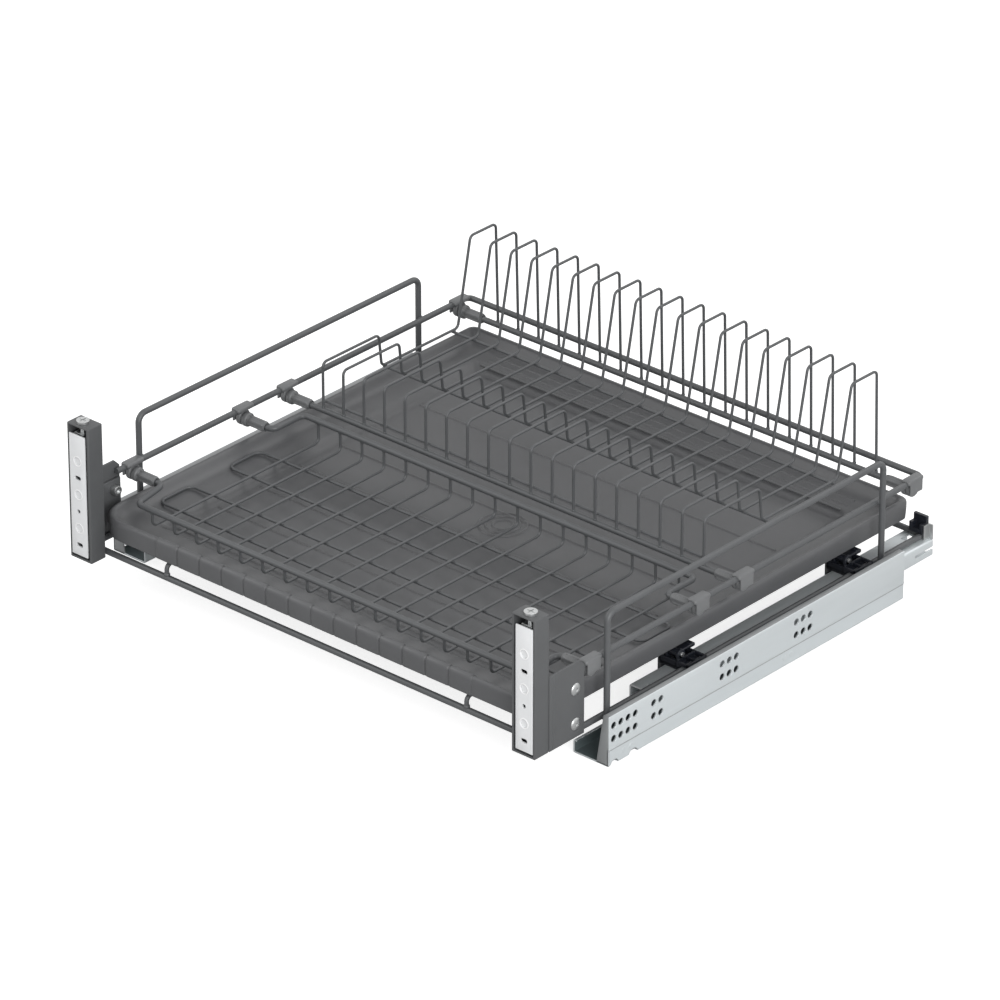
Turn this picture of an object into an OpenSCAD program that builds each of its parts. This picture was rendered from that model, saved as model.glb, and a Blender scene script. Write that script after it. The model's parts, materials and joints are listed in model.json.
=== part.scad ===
// Pull-out dish rack for a 600 mm kitchen cabinet.
// A wire frame rides on a pair of full-extension runners. It carries a drip tray,
// a cup rack in front, a plate rack behind and two brackets for the drawer front.
// Millimetres. X runs across the cabinet, +Y points to its back, +Z is up.
// The origin is at the bottom centre of the whole rack, pushed in.

/* [Cabinet and runners] */
// Clear width between the cabinet's side panels
clear_width = 564; // [500:1:640]
// Depth of the rack from the front plates to the rear hooks
depth = 510; // [430:1:600]
// Setback of the cabinet's front edge behind the front plates
front_setback = 66.3; // [62:0.1:70]
// Height of the cabinet rails
rail_height = 46.5; // [44:0.5:50]
// Thickness of the rails' steel sheet
sheet = 1.5; // [1.2:0.1:1.6]
// Diameter of the screw holes in the cabinet rails
rail_hole_d = 6.4; // [5:0.1:6.6]
// How far the drawer pulls out
travel = 400; // [300:5:400]

/* [Frame] */
// Diameter of the frame's steel rod
rod_d = 5.5; // [5:0.1:6]
// Height of the main rail's centre line
main_rail_z = 90.5; // [88:0.5:93]
// Height of the guards' top bars
guard_top_z = 129.8; // [125:0.1:135]

/* [Front brackets] */
// Width of a bracket's casing
casing_width = 25; // [25:0.5:27]
// Depth of a bracket's casing
casing_depth = 17.3; // [17:0.1:18]
// Height of a bracket's casing
casing_height = 128.4; // [126:0.1:132]
// Pitch of the holes in the white front plates
plate_pitch = 16; // [15.5:0.1:16]
// Height adjustment of the front plates, up or down
plate_adjust = 1.5; // [1:0.1:1.5]

/* [Racks] */
// Diameter of the racks' thin wire
wire_d = 2.5; // [2.2:0.1:2.8]
// Number of wires in the cup rack
cup_wires = 17; // [9:1:18]
// Number of wires in the plate rack
plate_wires = 19; // [9:1:19]
// Height of the centre line of the plate rack's tall loops
tall_loop_z = 181; // [160:1:200]
// Height of the centre line of the plate rack's low humps
hump_z = 128.5; // [115:0.5:140]

/* [Drip tray] */
// Thickness of the tray's plastic
tray_wall = 2; // [1.6:0.1:2.2]
// Height of the tray's rolled rim
tray_rim_z = 68; // [64:0.5:70]
// Room between the tray's skirt and the outer face of each cabinet rail
tray_side_room = 32; // [31:0.5:40]

/* [Hidden] */
rod_sides = 24;
bend_sides = 48;
round_sides = 48;
steel_gray = [0.35, 0.36, 0.37];
plastic_gray = [0.48, 0.49, 0.49];
zinc = [0.76, 0.79, 0.8];
black_plastic = [0.07, 0.08, 0.1];
white_steel = [0.87, 0.88, 0.89];
bright_steel = [0.85, 0.85, 0.86];

// Places along Y, worked out from the front plates' face
front_y = -depth / 2;
rear_y = depth / 2;
cabinet_edge_y = front_y + front_setback;
inside_depth = rear_y - cabinet_edge_y;
cut = 2; // overrun of every cutting shape
touch = 0.05; // gap between welded or seated pieces
bend_swell = 0.01; // a bend is a hair thicker than its bars, so that each bar ends inside it
slide_gap = 0.3; // gap beside sliding pieces

// Runner section, right-hand side, from the rail's outer face inwards
rail_x = clear_width / 2;
rail_wall_setback = 4.3;
rail_wall_y = cabinet_edge_y + rail_wall_setback;
rail_wall_end_gap = 56.9;
rail_wall_length = rear_y - rail_wall_end_gap - rail_wall_y;
front_strip_top_width = 6.5;
front_strip_foot_width = 14;
rear_return_width = 3;
crease_z = 15.5;
crease_step = 0.6;
channel_width = 38.5;
channel_x = rail_x - channel_width;
lip_height = 12.3;
lip_curl = 4;
rail_hole_rows = [24.8, 37];
rail_hole_columns = [10, 19, 28, 37, 60, 69, 147, 156, 165, 243, 252, 261];
lower_roller_d = 3.5;
lower_roller_length = 16;
upper_roller_d = 6.9;
upper_roller_length = 13;
roller_count = 6;
roller_pitch = 26;
cage_length = 148;
cage_margin = 3;
lower_cage_thickness = 1.6;
cage_stop_gap = 10;
middle_base_z = sheet + lower_roller_d + 2 * touch;
middle_base_width = 22.5;
middle_setback = 80.4;
middle_end_gap = 63;
middle_y = rail_wall_y + middle_setback;
middle_length = rear_y - middle_end_gap - middle_y;
drawer_rail_width = 29.5;
drawer_rail_inset = 29.25;
drawer_rail_x = rail_x - drawer_rail_inset;
drawer_rail_top_z = 30;
drawer_rail_bottom_z = 14;
drawer_rail_setback = 80.7;
drawer_rail_y = cabinet_edge_y + drawer_rail_setback;
drawer_rail_length = rear_y - drawer_rail_y;
drawer_lip = 10;
front_slot_size = [8, 3];
front_slot_inset = [12, 8];
rear_slot_size = [6.2, 11.6];
rear_slot_inset = [8.4, 17.7];
middle_head_width = 15;
middle_head_z = drawer_rail_top_z - 2 * sheet - upper_roller_d - 2 * touch;
lower_cage_y = rail_wall_y + travel / 4 + cage_stop_gap;
upper_cage_y = middle_y + travel / 4 + cage_stop_gap;
middle_base_inset = 13.5;
middle_base_x = rail_x - middle_base_inset - middle_base_width;

// Frame
rod_r = rod_d / 2;
frame_inset = 23.1;
frame_x = rail_x - frame_inset;
lower_frame_z = drawer_rail_top_z + rod_r + touch;
front_cross_setback = 22;
front_cross_y = front_y + front_cross_setback;
rear_hook_gap = 1;
rear_cross_y = rear_y - rear_hook_gap - rod_r;
guard_x = frame_x + rod_d + touch;
guard_setback = 21.4;
guard_end_gap = 67.4;
guard_y = cabinet_edge_y + guard_setback;
guard_length = rear_y - guard_end_gap - guard_y;
guard_foot_gap = 0.5;
guard_foot_z = drawer_rail_top_z + guard_foot_gap;
bend_r = 8;
main_rail_bend_r = 6;
main_rail_end_gap = 7.3;
main_rail_setback = 54;
main_rail_y = rear_y - main_rail_end_gap;
main_rail_front_y = front_y + main_rail_setback;
support_x = 170;
support_d = 4;
support_z = 44.9;

// Front brackets
casing_inset = 20.9;
casing_setback = 0.5;
casing_x = frame_x - casing_inset;
casing_y = front_y + casing_setback;
casing_z = 29.2;
casing_inner_wall = 4;
casing_outer_wall = 2;
casing_sill = 2.4;
casing_roof = 2.6;
casing_back = 3;
channel_gap = 0.3;
casing_top_z = casing_z + casing_height;
arm_thickness = 2.9;
arm_x = frame_x + rod_r - touch - arm_thickness;
arm_z = 38;
arm_height = 46;
arm_length = 41;
side_plate_x = frame_x + rod_r + touch;
side_plate_thickness = 2;
side_plate_y = casing_y + casing_depth + touch;
side_plate_length = 43;
side_plate_height = 70;
side_plate_rise = 0.6;
side_plate_z = casing_z + side_plate_rise;
side_plate_chamfer = 6;
bolt_setback = 31.8;
bolt_y = side_plate_y + bolt_setback;
bolt_rows = [43, 75.2];
bolt_d = 6;
bolt_head_d = 10;
bolt_head_height = 2.6;
bolt_nut_d = 10;
bolt_nut_length = 6;
bolt_socket_d = 4;
front_plate_width = casing_width - casing_inner_wall - casing_outer_wall - 2 * channel_gap;
front_plate_z = casing_z + casing_sill + plate_adjust + channel_gap;
front_plate_height = 115;
front_plate_thickness = 3;
plate_centre_x = casing_x + casing_inner_wall + channel_gap + front_plate_width / 2;
plate_first_hole_z = 43.6;
ring_d = 10;
ring_rise = 0.4;
ring_hole_d = 4.2;
pilot_hole_d = 3.6;
slot_length = 8;
slot_width = 3.3;
screw_x = plate_centre_x;
screw_setback = 8;
screw_y = casing_y + screw_setback;
screw_d = 5;
screw_head_d = 11.5;
screw_head_height = 2.4;
screw_collar_d = 8;
screw_collar_height = 1.8;
screw_length = 24;
cross_slot_width = 1.2;
cross_slot_reach = 7;
fit_gap = 0.05; // radial gap of every running fit
nut_width = 11;
nut_depth = 7.4;
nut_height = 9;
nut_z = 140;

// Drip tray
tray_width = clear_width - 2 * tray_side_room;
tray_front_setback = 18.2;
tray_rear_gap = 1;
tray_front_y = front_y + tray_front_setback;
tray_rear_y = main_rail_y - rod_r - tray_rear_gap;
tray_skirt_z = 50;
tray_floor_z = 49;
tray_corner = 14;
tray_rear_chamfer = 7;
tray_rear_corner = 4;
rim_width = 8;
basin_slope = 7;
flute_count = 14;
flute_width = 22;
flute_rise = 2;
flute_top_z = 63;
ridge_height = 1.2;
ridge_width = 3;
ridge_count = 8;
ridge_end_gap = 15;
ridge_front_inset = 50;
ridge_rear_inset = 72.35;
ring_radii = [9, 15, 21];
ring_wall = 2;
drain_ring_share = 0.432;
drain_ring_y = cabinet_edge_y + drain_ring_share * inside_depth;

// Racks
wire_r = wire_d / 2;
socket_drop = 8.1;
socket_z = main_rail_z - socket_drop;
socket_d = 9;
socket_inset = 29.4;
socket_x = frame_x - socket_inset;
socket_length = 24.5;
rod_end_inset = 9;
rod_end_x = frame_x - rod_end_inset;
front_clip_setback = 7.2;
rear_clip_gap = 19.5;
cup_rear_clip_share = 0.3239;
plate_front_clip_share = 0.4512;
clip_y_places = [
    cabinet_edge_y + front_clip_setback,
    cabinet_edge_y + cup_rear_clip_share * inside_depth,
    cabinet_edge_y + plate_front_clip_share * inside_depth,
    rear_y - rear_clip_gap
];
sleeve_d = 11;
sleeve_length = 12;
latch_width = 18;
latch_thickness = 2;
latch_height = 5.6;
latch_lip = 2.6;
latch_lip_thickness = 1.6;
latch_drop = 13;
latch_z = main_rail_z - latch_drop;
rack_corner_inset = 36.1;
rack_corner_x = frame_x - rack_corner_inset;
cup_end_gap = 18;
plate_end_gap = 6.8;
cup_pitch = 2 * (rack_corner_x - cup_end_gap) / (cup_wires - 1);
plate_wire_pitch = 2 * (rack_corner_x - plate_end_gap) / (plate_wires - 1);
cup_floor_z = 62;
cup_front_setback = 41.5;
cup_front_y = front_y + cup_front_setback;
cup_front_z = 77;
cup_rear_share = 0.4095;
cup_rear_y = cabinet_edge_y + cup_rear_share * inside_depth;
loop_shares = [0.0313, 0.2243];
loop_places = [for (share = loop_shares) cabinet_edge_y + share * inside_depth];
loop_width = 39.1;
loop_inset = 23.9;
loop_x = frame_x - loop_inset;
wire_bend_r = 5;
plate_front_y = clip_y_places[2];
plate_rear_y = clip_y_places[3];
plate_floor_z = 97;
plate_depth = plate_rear_y - plate_front_y;
hump_rear_share = 0.3192;
trough_front_share = 0.3348;
trough_rear_share = 0.779;
tall_front_share = 0.8549;
tall_overhang = 1;
hump_rear_y = plate_front_y + hump_rear_share * plate_depth;
trough_front_y = plate_front_y + trough_front_share * plate_depth;
trough_rear_y = plate_front_y + trough_rear_share * plate_depth;
tall_front_y = plate_front_y + tall_front_share * plate_depth;
tall_rear_y = plate_rear_y + tall_overhang;
low_cross_z = 90.4;
cross_overhang = 2.2;

// Runner couplers, levers and rear hooks
front_coupler_share = 0.2788;
rear_coupler_gap = 102;
coupler_y_places = [
    cabinet_edge_y + front_coupler_share * inside_depth,
    rear_y - rear_coupler_gap
];
coupler_length = 25;
coupler_inset = 21.75;
coupler_x = drawer_rail_x - coupler_inset;
coupler_width = 31;
coupler_base_z = drawer_rail_top_z + touch;
coupler_base_height = 8.5;
coupler_wall = 2;
coupler_skirt_z = 17;
ear_inset = 6;
ear_x = coupler_x + ear_inset;
ear_thickness = 3;
ear_depth = 9;
hinge_offset = 6.5;
pin_overhang = 1.5;
ear_height = 7;
pin_d = 4;
pin_rise = 3.6;
pin_z = coupler_base_z + coupler_base_height + pin_rise;
lever_length = 21;
lever_thickness = 2.4;
lever_width = 9;
lever_hub_d = 6.6;
catch_size = [5, 8, 14];
cradle_size = [14, 9, 9];
cradle_base = 4;
cradle_cheek = 3;
cradle_back_height = 15;
cradle_inset = 8;
cradle_x = frame_x - rod_r - cradle_inset;
catch_x = cradle_x + cradle_size.x + slide_gap;

function unit(v) = v / norm(v);

// Straight round bar between two points
module bar(a, b, d) {
    v = b - a;
    translate(a)
        rotate([0, acos(v.z / norm(v)), atan2(v.y, v.x)])
            cylinder(d = d, h = norm(v), $fn = rod_sides);
}

// Round bend where a wire turns from direction u to direction v at a corner
module bend(corner, u, v, d, r) {
    angle = acos(u * v);
    side = unit(v - u * (u * v));
    centre = corner - u * r * tan(angle / 2) + side * r;
    w = cross(-side, u);
    multmatrix([
        [-side.x, u.x, w.x, centre.x],
        [-side.y, u.y, w.y, centre.y],
        [-side.z, u.z, w.z, centre.z],
        [0, 0, 0, 1]
    ])
        rotate_extrude(angle = angle, $fn = bend_sides)
            translate([r, 0])
                circle(d = d + bend_swell, $fn = rod_sides);
}

// Wire bent through a list of corner points
module bent_wire(path, d, r) {
    last = len(path) - 1;
    directions = [for (i = [1 : last]) unit(path[i] - path[i - 1])];
    set_back = [for (i = [0 : last])
        i == 0 || i == last ? 0 : r * tan(acos(directions[i - 1] * directions[i]) / 2) - touch];
    for (i = [1 : last])
        bar(path[i - 1] + directions[i - 1] * set_back[i - 1], path[i] - directions[i - 1] * set_back[i], d);
    for (i = [1 : last - 1])
        bend(path[i], directions[i - 1], directions[i], d, r);
}

// A right-hand piece and its mirrored left-hand twin
module on_side(side) {
    mirror([side < 0 ? 1 : 0, 0, 0]) children();
}

// Block given by its least corner and its size
module block(corner, size) {
    translate(corner) cube(size);
}

// Round bar or bore along X
module round_x(place, d, length) {
    translate(place) rotate([0, 90, 0]) cylinder(d = d, h = length, $fn = round_sides);
}

// Round bar or bore along Y
module round_y(place, d, length) {
    translate(place) rotate([-90, 0, 0]) cylinder(d = d, h = length, $fn = round_sides);
}

// Cabinet rail: screwed side wall, front strip, rear return, channel floor and curled lip
module cabinet_rail(side) {
    wall_x = rail_x - sheet;
    color(zinc) on_side(side) difference() {
        union() {
            block([wall_x, rail_wall_y, crease_z], [sheet, rail_wall_length, rail_height - crease_z]);
            block([wall_x - crease_step, rail_wall_y, 0], [sheet, rail_wall_length, crease_z]);
            rail_front_strip();
            block([wall_x - rear_return_width, rail_wall_y + rail_wall_length - sheet, crease_z],
                [rear_return_width, sheet, rail_height - crease_z]);
            block([channel_x, rail_wall_y, 0],
                [channel_width - crease_step - sheet, rail_wall_length, sheet]);
            block([channel_x, rail_wall_y, 0], [sheet, rail_wall_length, lip_height]);
            block([channel_x, rail_wall_y, lip_height - sheet], [lip_curl, rail_wall_length, sheet]);
        }
        for (column = rail_hole_columns)
            for (row = rail_hole_rows)
                round_x([wall_x - cut, cabinet_edge_y + column, row], rail_hole_d, sheet + 2 * cut);
    }
}

// Strip bent across the front end of a cabinet rail, narrow above and wide at its foot
module rail_front_strip() {
    translate([0, rail_wall_y + sheet, 0])
        rotate([90, 0, 0])
            linear_extrude(sheet)
                polygon([[rail_x - front_strip_foot_width, 0], [rail_x - crease_step, 0],
                    [rail_x - crease_step, crease_z], [rail_x, crease_z], [rail_x, rail_height],
                    [rail_x - front_strip_top_width, rail_height]]);
}

// Steel hook at the rear end of a drawer rail that holds the cradle down
module rear_catch(side) {
    corner = [catch_x, rear_y - catch_size.y, drawer_rail_top_z + touch];
    color(bright_steel) on_side(side) {
        block(corner, [sheet, catch_size.y, catch_size.z]);
        block(corner + [0, catch_size.y - sheet, 0], [catch_size.x, sheet, catch_size.z]);
    }
}

// Flat plastic cage with one pocket per roller
module roller_cage(side, centre_x, first_y, z, roller_d, roller_length, thickness) {
    color(black_plastic) on_side(side) difference() {
        block([centre_x - roller_length / 2 - cage_margin, first_y, z - thickness / 2],
            [roller_length + 2 * cage_margin, cage_length, thickness]);
        for (i = [0 : roller_count - 1])
            block([centre_x - roller_length / 2 - slide_gap,
                    first_y + (cage_length - (roller_count - 1) * roller_pitch) / 2 + i * roller_pitch
                        - roller_d / 2 - slide_gap,
                    z - thickness / 2 - cut],
                [roller_length + 2 * slide_gap, roller_d + 2 * slide_gap, thickness + 2 * cut]);
    }
}

// Steel rollers of one cage
module roller_row(centre_x, first_y, z, roller_d, roller_length) {
    for (i = [0 : roller_count - 1])
        round_x([centre_x - roller_length / 2,
                first_y + (cage_length - (roller_count - 1) * roller_pitch) / 2 + i * roller_pitch, z],
            roller_d, roller_length);
}

lower_roller_z = sheet + touch + lower_roller_d / 2;
lower_roller_x = middle_base_x + middle_base_width / 2;
upper_roller_z = middle_head_z + sheet + touch + upper_roller_d / 2;
upper_roller_x = drawer_rail_x;

module lower_roller_cage(side) {
    roller_cage(side, lower_roller_x, lower_cage_y, lower_roller_z, lower_roller_d, lower_roller_length,
        lower_cage_thickness);
}

module lower_rollers() {
    color(bright_steel) for (side = [-1, 1])
        on_side(side)
            roller_row(lower_roller_x, lower_cage_y, lower_roller_z, lower_roller_d, lower_roller_length);
}

module upper_roller_cage(side) {
    roller_cage(side, upper_roller_x, upper_cage_y, upper_roller_z, upper_roller_d, upper_roller_length,
        sheet);
}

module upper_rollers() {
    color(bright_steel) for (side = [-1, 1])
        on_side(side)
            roller_row(upper_roller_x, upper_cage_y, upper_roller_z, upper_roller_d, upper_roller_length);
}

// Middle rail: wide base on the lower rollers, thin web and a head inside the drawer rail
module middle_rail(side) {
    web_top = middle_head_z + sheet;
    color(zinc) on_side(side) {
        block([middle_base_x, middle_y, middle_base_z], [middle_base_width, middle_length, sheet]);
        block([drawer_rail_x - sheet / 2, middle_y, middle_base_z],
            [sheet, middle_length, web_top - middle_base_z]);
        block([drawer_rail_x - middle_head_width / 2, middle_y, middle_head_z],
            [middle_head_width, middle_length, sheet]);
    }
}

// Drawer rail: a box section, open below, whose lips reach under the middle rail's head
module drawer_rail(side) {
    left_x = drawer_rail_x - drawer_rail_width / 2;
    wall_height = drawer_rail_top_z - drawer_rail_bottom_z;
    color(zinc) on_side(side) difference() {
        block([left_x, drawer_rail_y, drawer_rail_bottom_z],
            [drawer_rail_width, drawer_rail_length, wall_height]);
        block([left_x + sheet, drawer_rail_y - cut, drawer_rail_bottom_z + sheet],
            [drawer_rail_width - 2 * sheet, drawer_rail_length + 2 * cut, wall_height - 2 * sheet]);
        block([left_x + drawer_lip, drawer_rail_y - cut, drawer_rail_bottom_z - cut],
            [drawer_rail_width - 2 * drawer_lip, drawer_rail_length + 2 * cut, 2 * cut + sheet]);
        block([left_x + front_slot_inset.x, drawer_rail_y + front_slot_inset.y,
            drawer_rail_top_z - sheet - cut],
            [front_slot_size.x, front_slot_size.y, sheet + 2 * cut]);
        block([left_x + rear_slot_inset.x, drawer_rail_y + drawer_rail_length - rear_slot_inset.y,
                drawer_rail_top_z - sheet - cut],
            [rear_slot_size.x, rear_slot_size.y, sheet + 2 * cut]);
    }
}

// Black cradle that takes the rear corner of the wire frame
module rear_cradles() {
    corner = [cradle_x, rear_y - cradle_size.y, lower_frame_z + rod_r + touch];
    cheek = [cradle_cheek, cradle_size.y, cradle_size.z];
    color(black_plastic) for (side = [-1, 1]) on_side(side) {
        block(corner, [cradle_size.x, cradle_size.y, cradle_base]);
        block(corner, cheek);
        block(corner + [cradle_size.x - cradle_cheek, 0, 0], cheek);
        block(corner + [0, cradle_size.y - cradle_cheek, 0],
            [cradle_size.x, cradle_cheek, cradle_back_height]);
    }
}

// Coupler clipped over the drawer rail, with a skirt down its inner side and two ears
module coupler(side, place) {
    color(black_plastic) on_side(side) difference() {
        union() {
            block([coupler_x + coupler_wall, place, coupler_base_z],
                [coupler_width, coupler_length, coupler_base_height]);
            block([coupler_x, place, coupler_skirt_z],
                [coupler_wall, coupler_length, coupler_base_z + coupler_base_height - coupler_skirt_z]);
            block([coupler_x, place, coupler_base_z],
                [2 * coupler_wall, coupler_length, coupler_base_height]);
            for (x = [ear_x, ear_x + ear_thickness + lever_width])
                block([x, place + hinge_offset - ear_depth / 2, coupler_base_z],
                    [ear_thickness, ear_depth, coupler_base_height + ear_height]);
        }
        round_x([coupler_x, place + hinge_offset, pin_z], pin_d + 2 * fit_gap, coupler_width);
        block([frame_x - rod_r - touch, place - cut, coupler_base_z - cut],
            [coupler_width, coupler_length + 2 * cut, cut + rod_d + touch]);
    }
}

// Steel pins that the release levers turn on
module coupler_pins() {
    color(bright_steel) for (side = [-1, 1])
        for (place = coupler_y_places)
            on_side(side)
                round_x([ear_x - pin_overhang, place + hinge_offset, pin_z], pin_d,
                    2 * (ear_thickness + pin_overhang) + lever_width);
}

// Release lever: a hub on the pin and a flat tongue to the rear
module release_lever(side, place) {
    hub_x = ear_x + ear_thickness + slide_gap;
    hub_length = lever_width - 2 * slide_gap;
    color(steel_gray) on_side(side) difference() {
        union() {
            round_x([hub_x, place + hinge_offset, pin_z], lever_hub_d, hub_length);
            block([hub_x, place + hinge_offset, pin_z - lever_thickness / 2],
                [hub_length, lever_length, lever_thickness]);
        }
        round_x([hub_x - cut, place + hinge_offset, pin_z], pin_d + 2 * fit_gap, hub_length + 2 * cut);
    }
}

// Lower frame rods
module side_rod(side) {
    color(steel_gray) on_side(side)
        bar([frame_x, front_cross_y - rod_r, lower_frame_z],
            [frame_x, rear_cross_y + rod_r, lower_frame_z], rod_d);
}

module cross_rod(y) {
    end_x = frame_x - rod_r - touch;
    color(steel_gray) bar([-end_x, y, lower_frame_z], [end_x, y, lower_frame_z], rod_d);
}

// Two wires under the tray, standing on the cross rods
module tray_supports() {
    foot_z = lower_frame_z + rod_r + touch;
    color(steel_gray) for (side = [-1, 1]) on_side(side)
        bent_wire([
            [support_x, front_cross_y, foot_z],
            [support_x, front_cross_y, support_z],
            [support_x, rear_cross_y, support_z],
            [support_x, rear_cross_y, foot_z]
        ], support_d, wire_bend_r);
}

// Side guard: an upturned loop welded outside the side rod and the main rail
module guard(side) {
    color(steel_gray) on_side(side)
        bent_wire([
            [guard_x, guard_y, guard_foot_z],
            [guard_x, guard_y, guard_top_z],
            [guard_x, guard_y + guard_length, guard_top_z],
            [guard_x, guard_y + guard_length, guard_foot_z]
        ], rod_d, bend_r);
}

// Main rail round both sides and the back
module main_rail() {
    color(steel_gray)
        bent_wire([
            [-frame_x, main_rail_front_y, main_rail_z],
            [-frame_x, main_rail_y, main_rail_z],
            [frame_x, main_rail_y, main_rail_z],
            [frame_x, main_rail_front_y, main_rail_z]
        ], rod_d, main_rail_bend_r);
}

// Side plate that ties the wire frame to a front bracket
module side_plate(side) {
    top_z = side_plate_height - side_plate_chamfer;
    color(steel_gray) on_side(side) difference() {
        translate([side_plate_x, side_plate_y, side_plate_z])
            rotate([90, 0, 90])
                linear_extrude(side_plate_thickness)
                    polygon([
                        [0, 0], [side_plate_length, 0], [side_plate_length, top_z],
                        [side_plate_length - side_plate_chamfer, side_plate_height], [0, side_plate_height]
                    ]);
        for (row = bolt_rows)
            round_x([side_plate_x - cut, bolt_y, row], bolt_d + 2 * fit_gap, side_plate_thickness + 2 * cut);
    }
}

// Bracket casing: an upright channel open to the front, with an arm back to the side plate
module bracket_casing(side) {
    inner_x = casing_x + casing_inner_wall;
    color(steel_gray) on_side(side) difference() {
        union() {
            block([casing_x, casing_y, casing_z], [casing_width, casing_depth, casing_height]);
            block([arm_x, casing_y + casing_depth - cut, arm_z],
                [arm_thickness, arm_length + cut, arm_height]);
        }
        block([inner_x, casing_y - cut, casing_z + casing_sill],
            [casing_width - casing_inner_wall - casing_outer_wall, casing_depth - casing_back + cut,
                casing_height - casing_sill - casing_roof]);
        translate([screw_x, screw_y, casing_top_z - casing_roof - cut])
            cylinder(d = screw_d + 2 * fit_gap, h = casing_roof + 2 * cut, $fn = round_sides);
        for (row = bolt_rows)
            round_x([arm_x - cut, bolt_y, row], bolt_d + 2 * fit_gap, arm_thickness + 2 * cut);
    }
}

// Button-head bolts with hollow hexagon nuts inside
module bracket_bolts() {
    shank_x = arm_x - bolt_nut_length - touch;
    head_x = side_plate_x + side_plate_thickness + touch;
    color(bright_steel) for (side = [-1, 1])
        for (row = bolt_rows) on_side(side) {
            round_x([shank_x + bolt_socket_d / 2, bolt_y, row], bolt_d, head_x - shank_x);
            difference() {
                round_x([head_x, bolt_y, row], bolt_head_d, bolt_head_height);
                translate([head_x + bolt_head_height / 2, bolt_y, row])
                    rotate([0, 90, 0])
                        cylinder(d = bolt_socket_d, h = bolt_head_height, $fn = 6);
            }
            difference() {
                translate([shank_x, bolt_y, row])
                    rotate([0, 90, 0])
                        cylinder(d = bolt_nut_d, h = bolt_nut_length, $fn = 6);
                round_x([shank_x - cut, bolt_y, row], bolt_socket_d, cut + bolt_socket_d / 2 + touch);
            }
        }
}

// Heights of the plate's openings: slots, rings and one pilot hole
slot_rows = [plate_first_hole_z, plate_first_hole_z + 4 * plate_pitch];
ring_rows = [for (i = [1, 3, 5]) plate_first_hole_z + i * plate_pitch];
pilot_row = plate_first_hole_z + 2 * plate_pitch;

// White plate that the drawer front is screwed to
module front_plate(side) {
    left_x = plate_centre_x - front_plate_width / 2;
    plate_y = front_y + ring_rise;
    color(white_steel) on_side(side) difference() {
        union() {
            block([left_x, plate_y, front_plate_z],
                [front_plate_width, front_plate_thickness, front_plate_height]);
            for (row = ring_rows)
                round_y([plate_centre_x, front_y, row], ring_d, ring_rise + touch);
        }
        for (row = ring_rows)
            round_y([plate_centre_x, front_y - cut, row], ring_hole_d, front_plate_thickness + 2 * cut);
        round_y([plate_centre_x, front_y - cut, pilot_row], pilot_hole_d, front_plate_thickness + 2 * cut);
        for (row = slot_rows) {
            straight = slot_length - slot_width;
            for (end = [-1, 1])
                round_y([plate_centre_x + end * straight / 2, front_y - cut, row],
                    slot_width, front_plate_thickness + 2 * cut);
            block([plate_centre_x - straight / 2, front_y - cut, row - slot_width / 2],
                [straight, front_plate_thickness + 2 * cut, slot_width]);
        }
    }
}

// Nut block behind the plate that the adjuster screw drives up and down
module plate_nut(side) {
    color(bright_steel) on_side(side) difference() {
        block([screw_x - nut_width / 2, front_y + ring_rise + front_plate_thickness + touch, nut_z],
            [nut_width, nut_depth, nut_height]);
        translate([screw_x, screw_y, nut_z - cut])
            cylinder(d = screw_d + 2 * fit_gap, h = nut_height + 2 * cut, $fn = round_sides);
    }
}

// Adjuster screw with its head on the casing's roof and a collar below it
module adjuster_screw(side) {
    head_z = casing_top_z + touch;
    collar_z = casing_top_z - casing_roof - touch - screw_collar_height;
    color(bright_steel) on_side(side) translate([screw_x, screw_y, 0]) difference() {
        union() {
            translate([0, 0, head_z]) cylinder(d = screw_head_d, h = screw_head_height, $fn = round_sides);
            translate([0, 0, head_z - screw_length]) cylinder(d = screw_d, h = screw_length,
                $fn = round_sides);
            translate([0, 0, collar_z]) cylinder(d = screw_collar_d, h = screw_collar_height,
                $fn = round_sides);
        }
        translate([0, 0, head_z + screw_head_height / 2]) {
            block([-cross_slot_reach / 2, -cross_slot_width / 2, 0],
                [cross_slot_reach, cross_slot_width, screw_head_height]);
            block([-cross_slot_width / 2, -cross_slot_reach / 2, 0],
                [cross_slot_width, cross_slot_reach, screw_head_height]);
        }
    }
}

// Outline of the tray, drawn in by a margin
module tray_outline(margin) {
    half = tray_width / 2 - margin;
    front = tray_front_y + margin;
    rear = tray_rear_y - margin;
    hull() {
        for (x = [-1, 1])
            translate([x * (half - tray_corner), front + tray_corner]) circle(r = tray_corner,
                $fn = round_sides);
        for (x = [-1, 1]) {
            translate([x * (half - tray_rear_chamfer), rear - tray_rear_corner])
                circle(r = tray_rear_corner, $fn = round_sides);
            translate([x * (half - tray_rear_corner), rear - tray_rear_chamfer])
                circle(r = tray_rear_corner, $fn = round_sides);
        }
    }
}

// Basin between two depths: wide at the top and drawn in at the bottom
module basin(top_margin, bottom_margin, bottom_z, top_z) {
    hull() {
        translate([0, 0, bottom_z]) linear_extrude(touch) tray_outline(bottom_margin);
        translate([0, 0, top_z - touch]) linear_extrude(touch) tray_outline(top_margin);
    }
}

// Drip tray: skirt, rolled rim, sloping walls, ribbed floor and a fluted front
module drip_tray() {
    under_z = tray_floor_z - tray_wall;
    color(steel_gray) union() {
        difference() {
            union() {
                translate([0, 0, tray_skirt_z])
                    linear_extrude(tray_rim_z - tray_skirt_z)
                        tray_outline(0);
                basin(rim_width, rim_width + basin_slope, under_z, tray_skirt_z + touch);
            }
            basin(rim_width, rim_width + basin_slope, tray_floor_z, tray_rim_z + cut);
            skirt_hollow();
        }
        tray_flutes();
        tray_ridges();
    }
}

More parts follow.
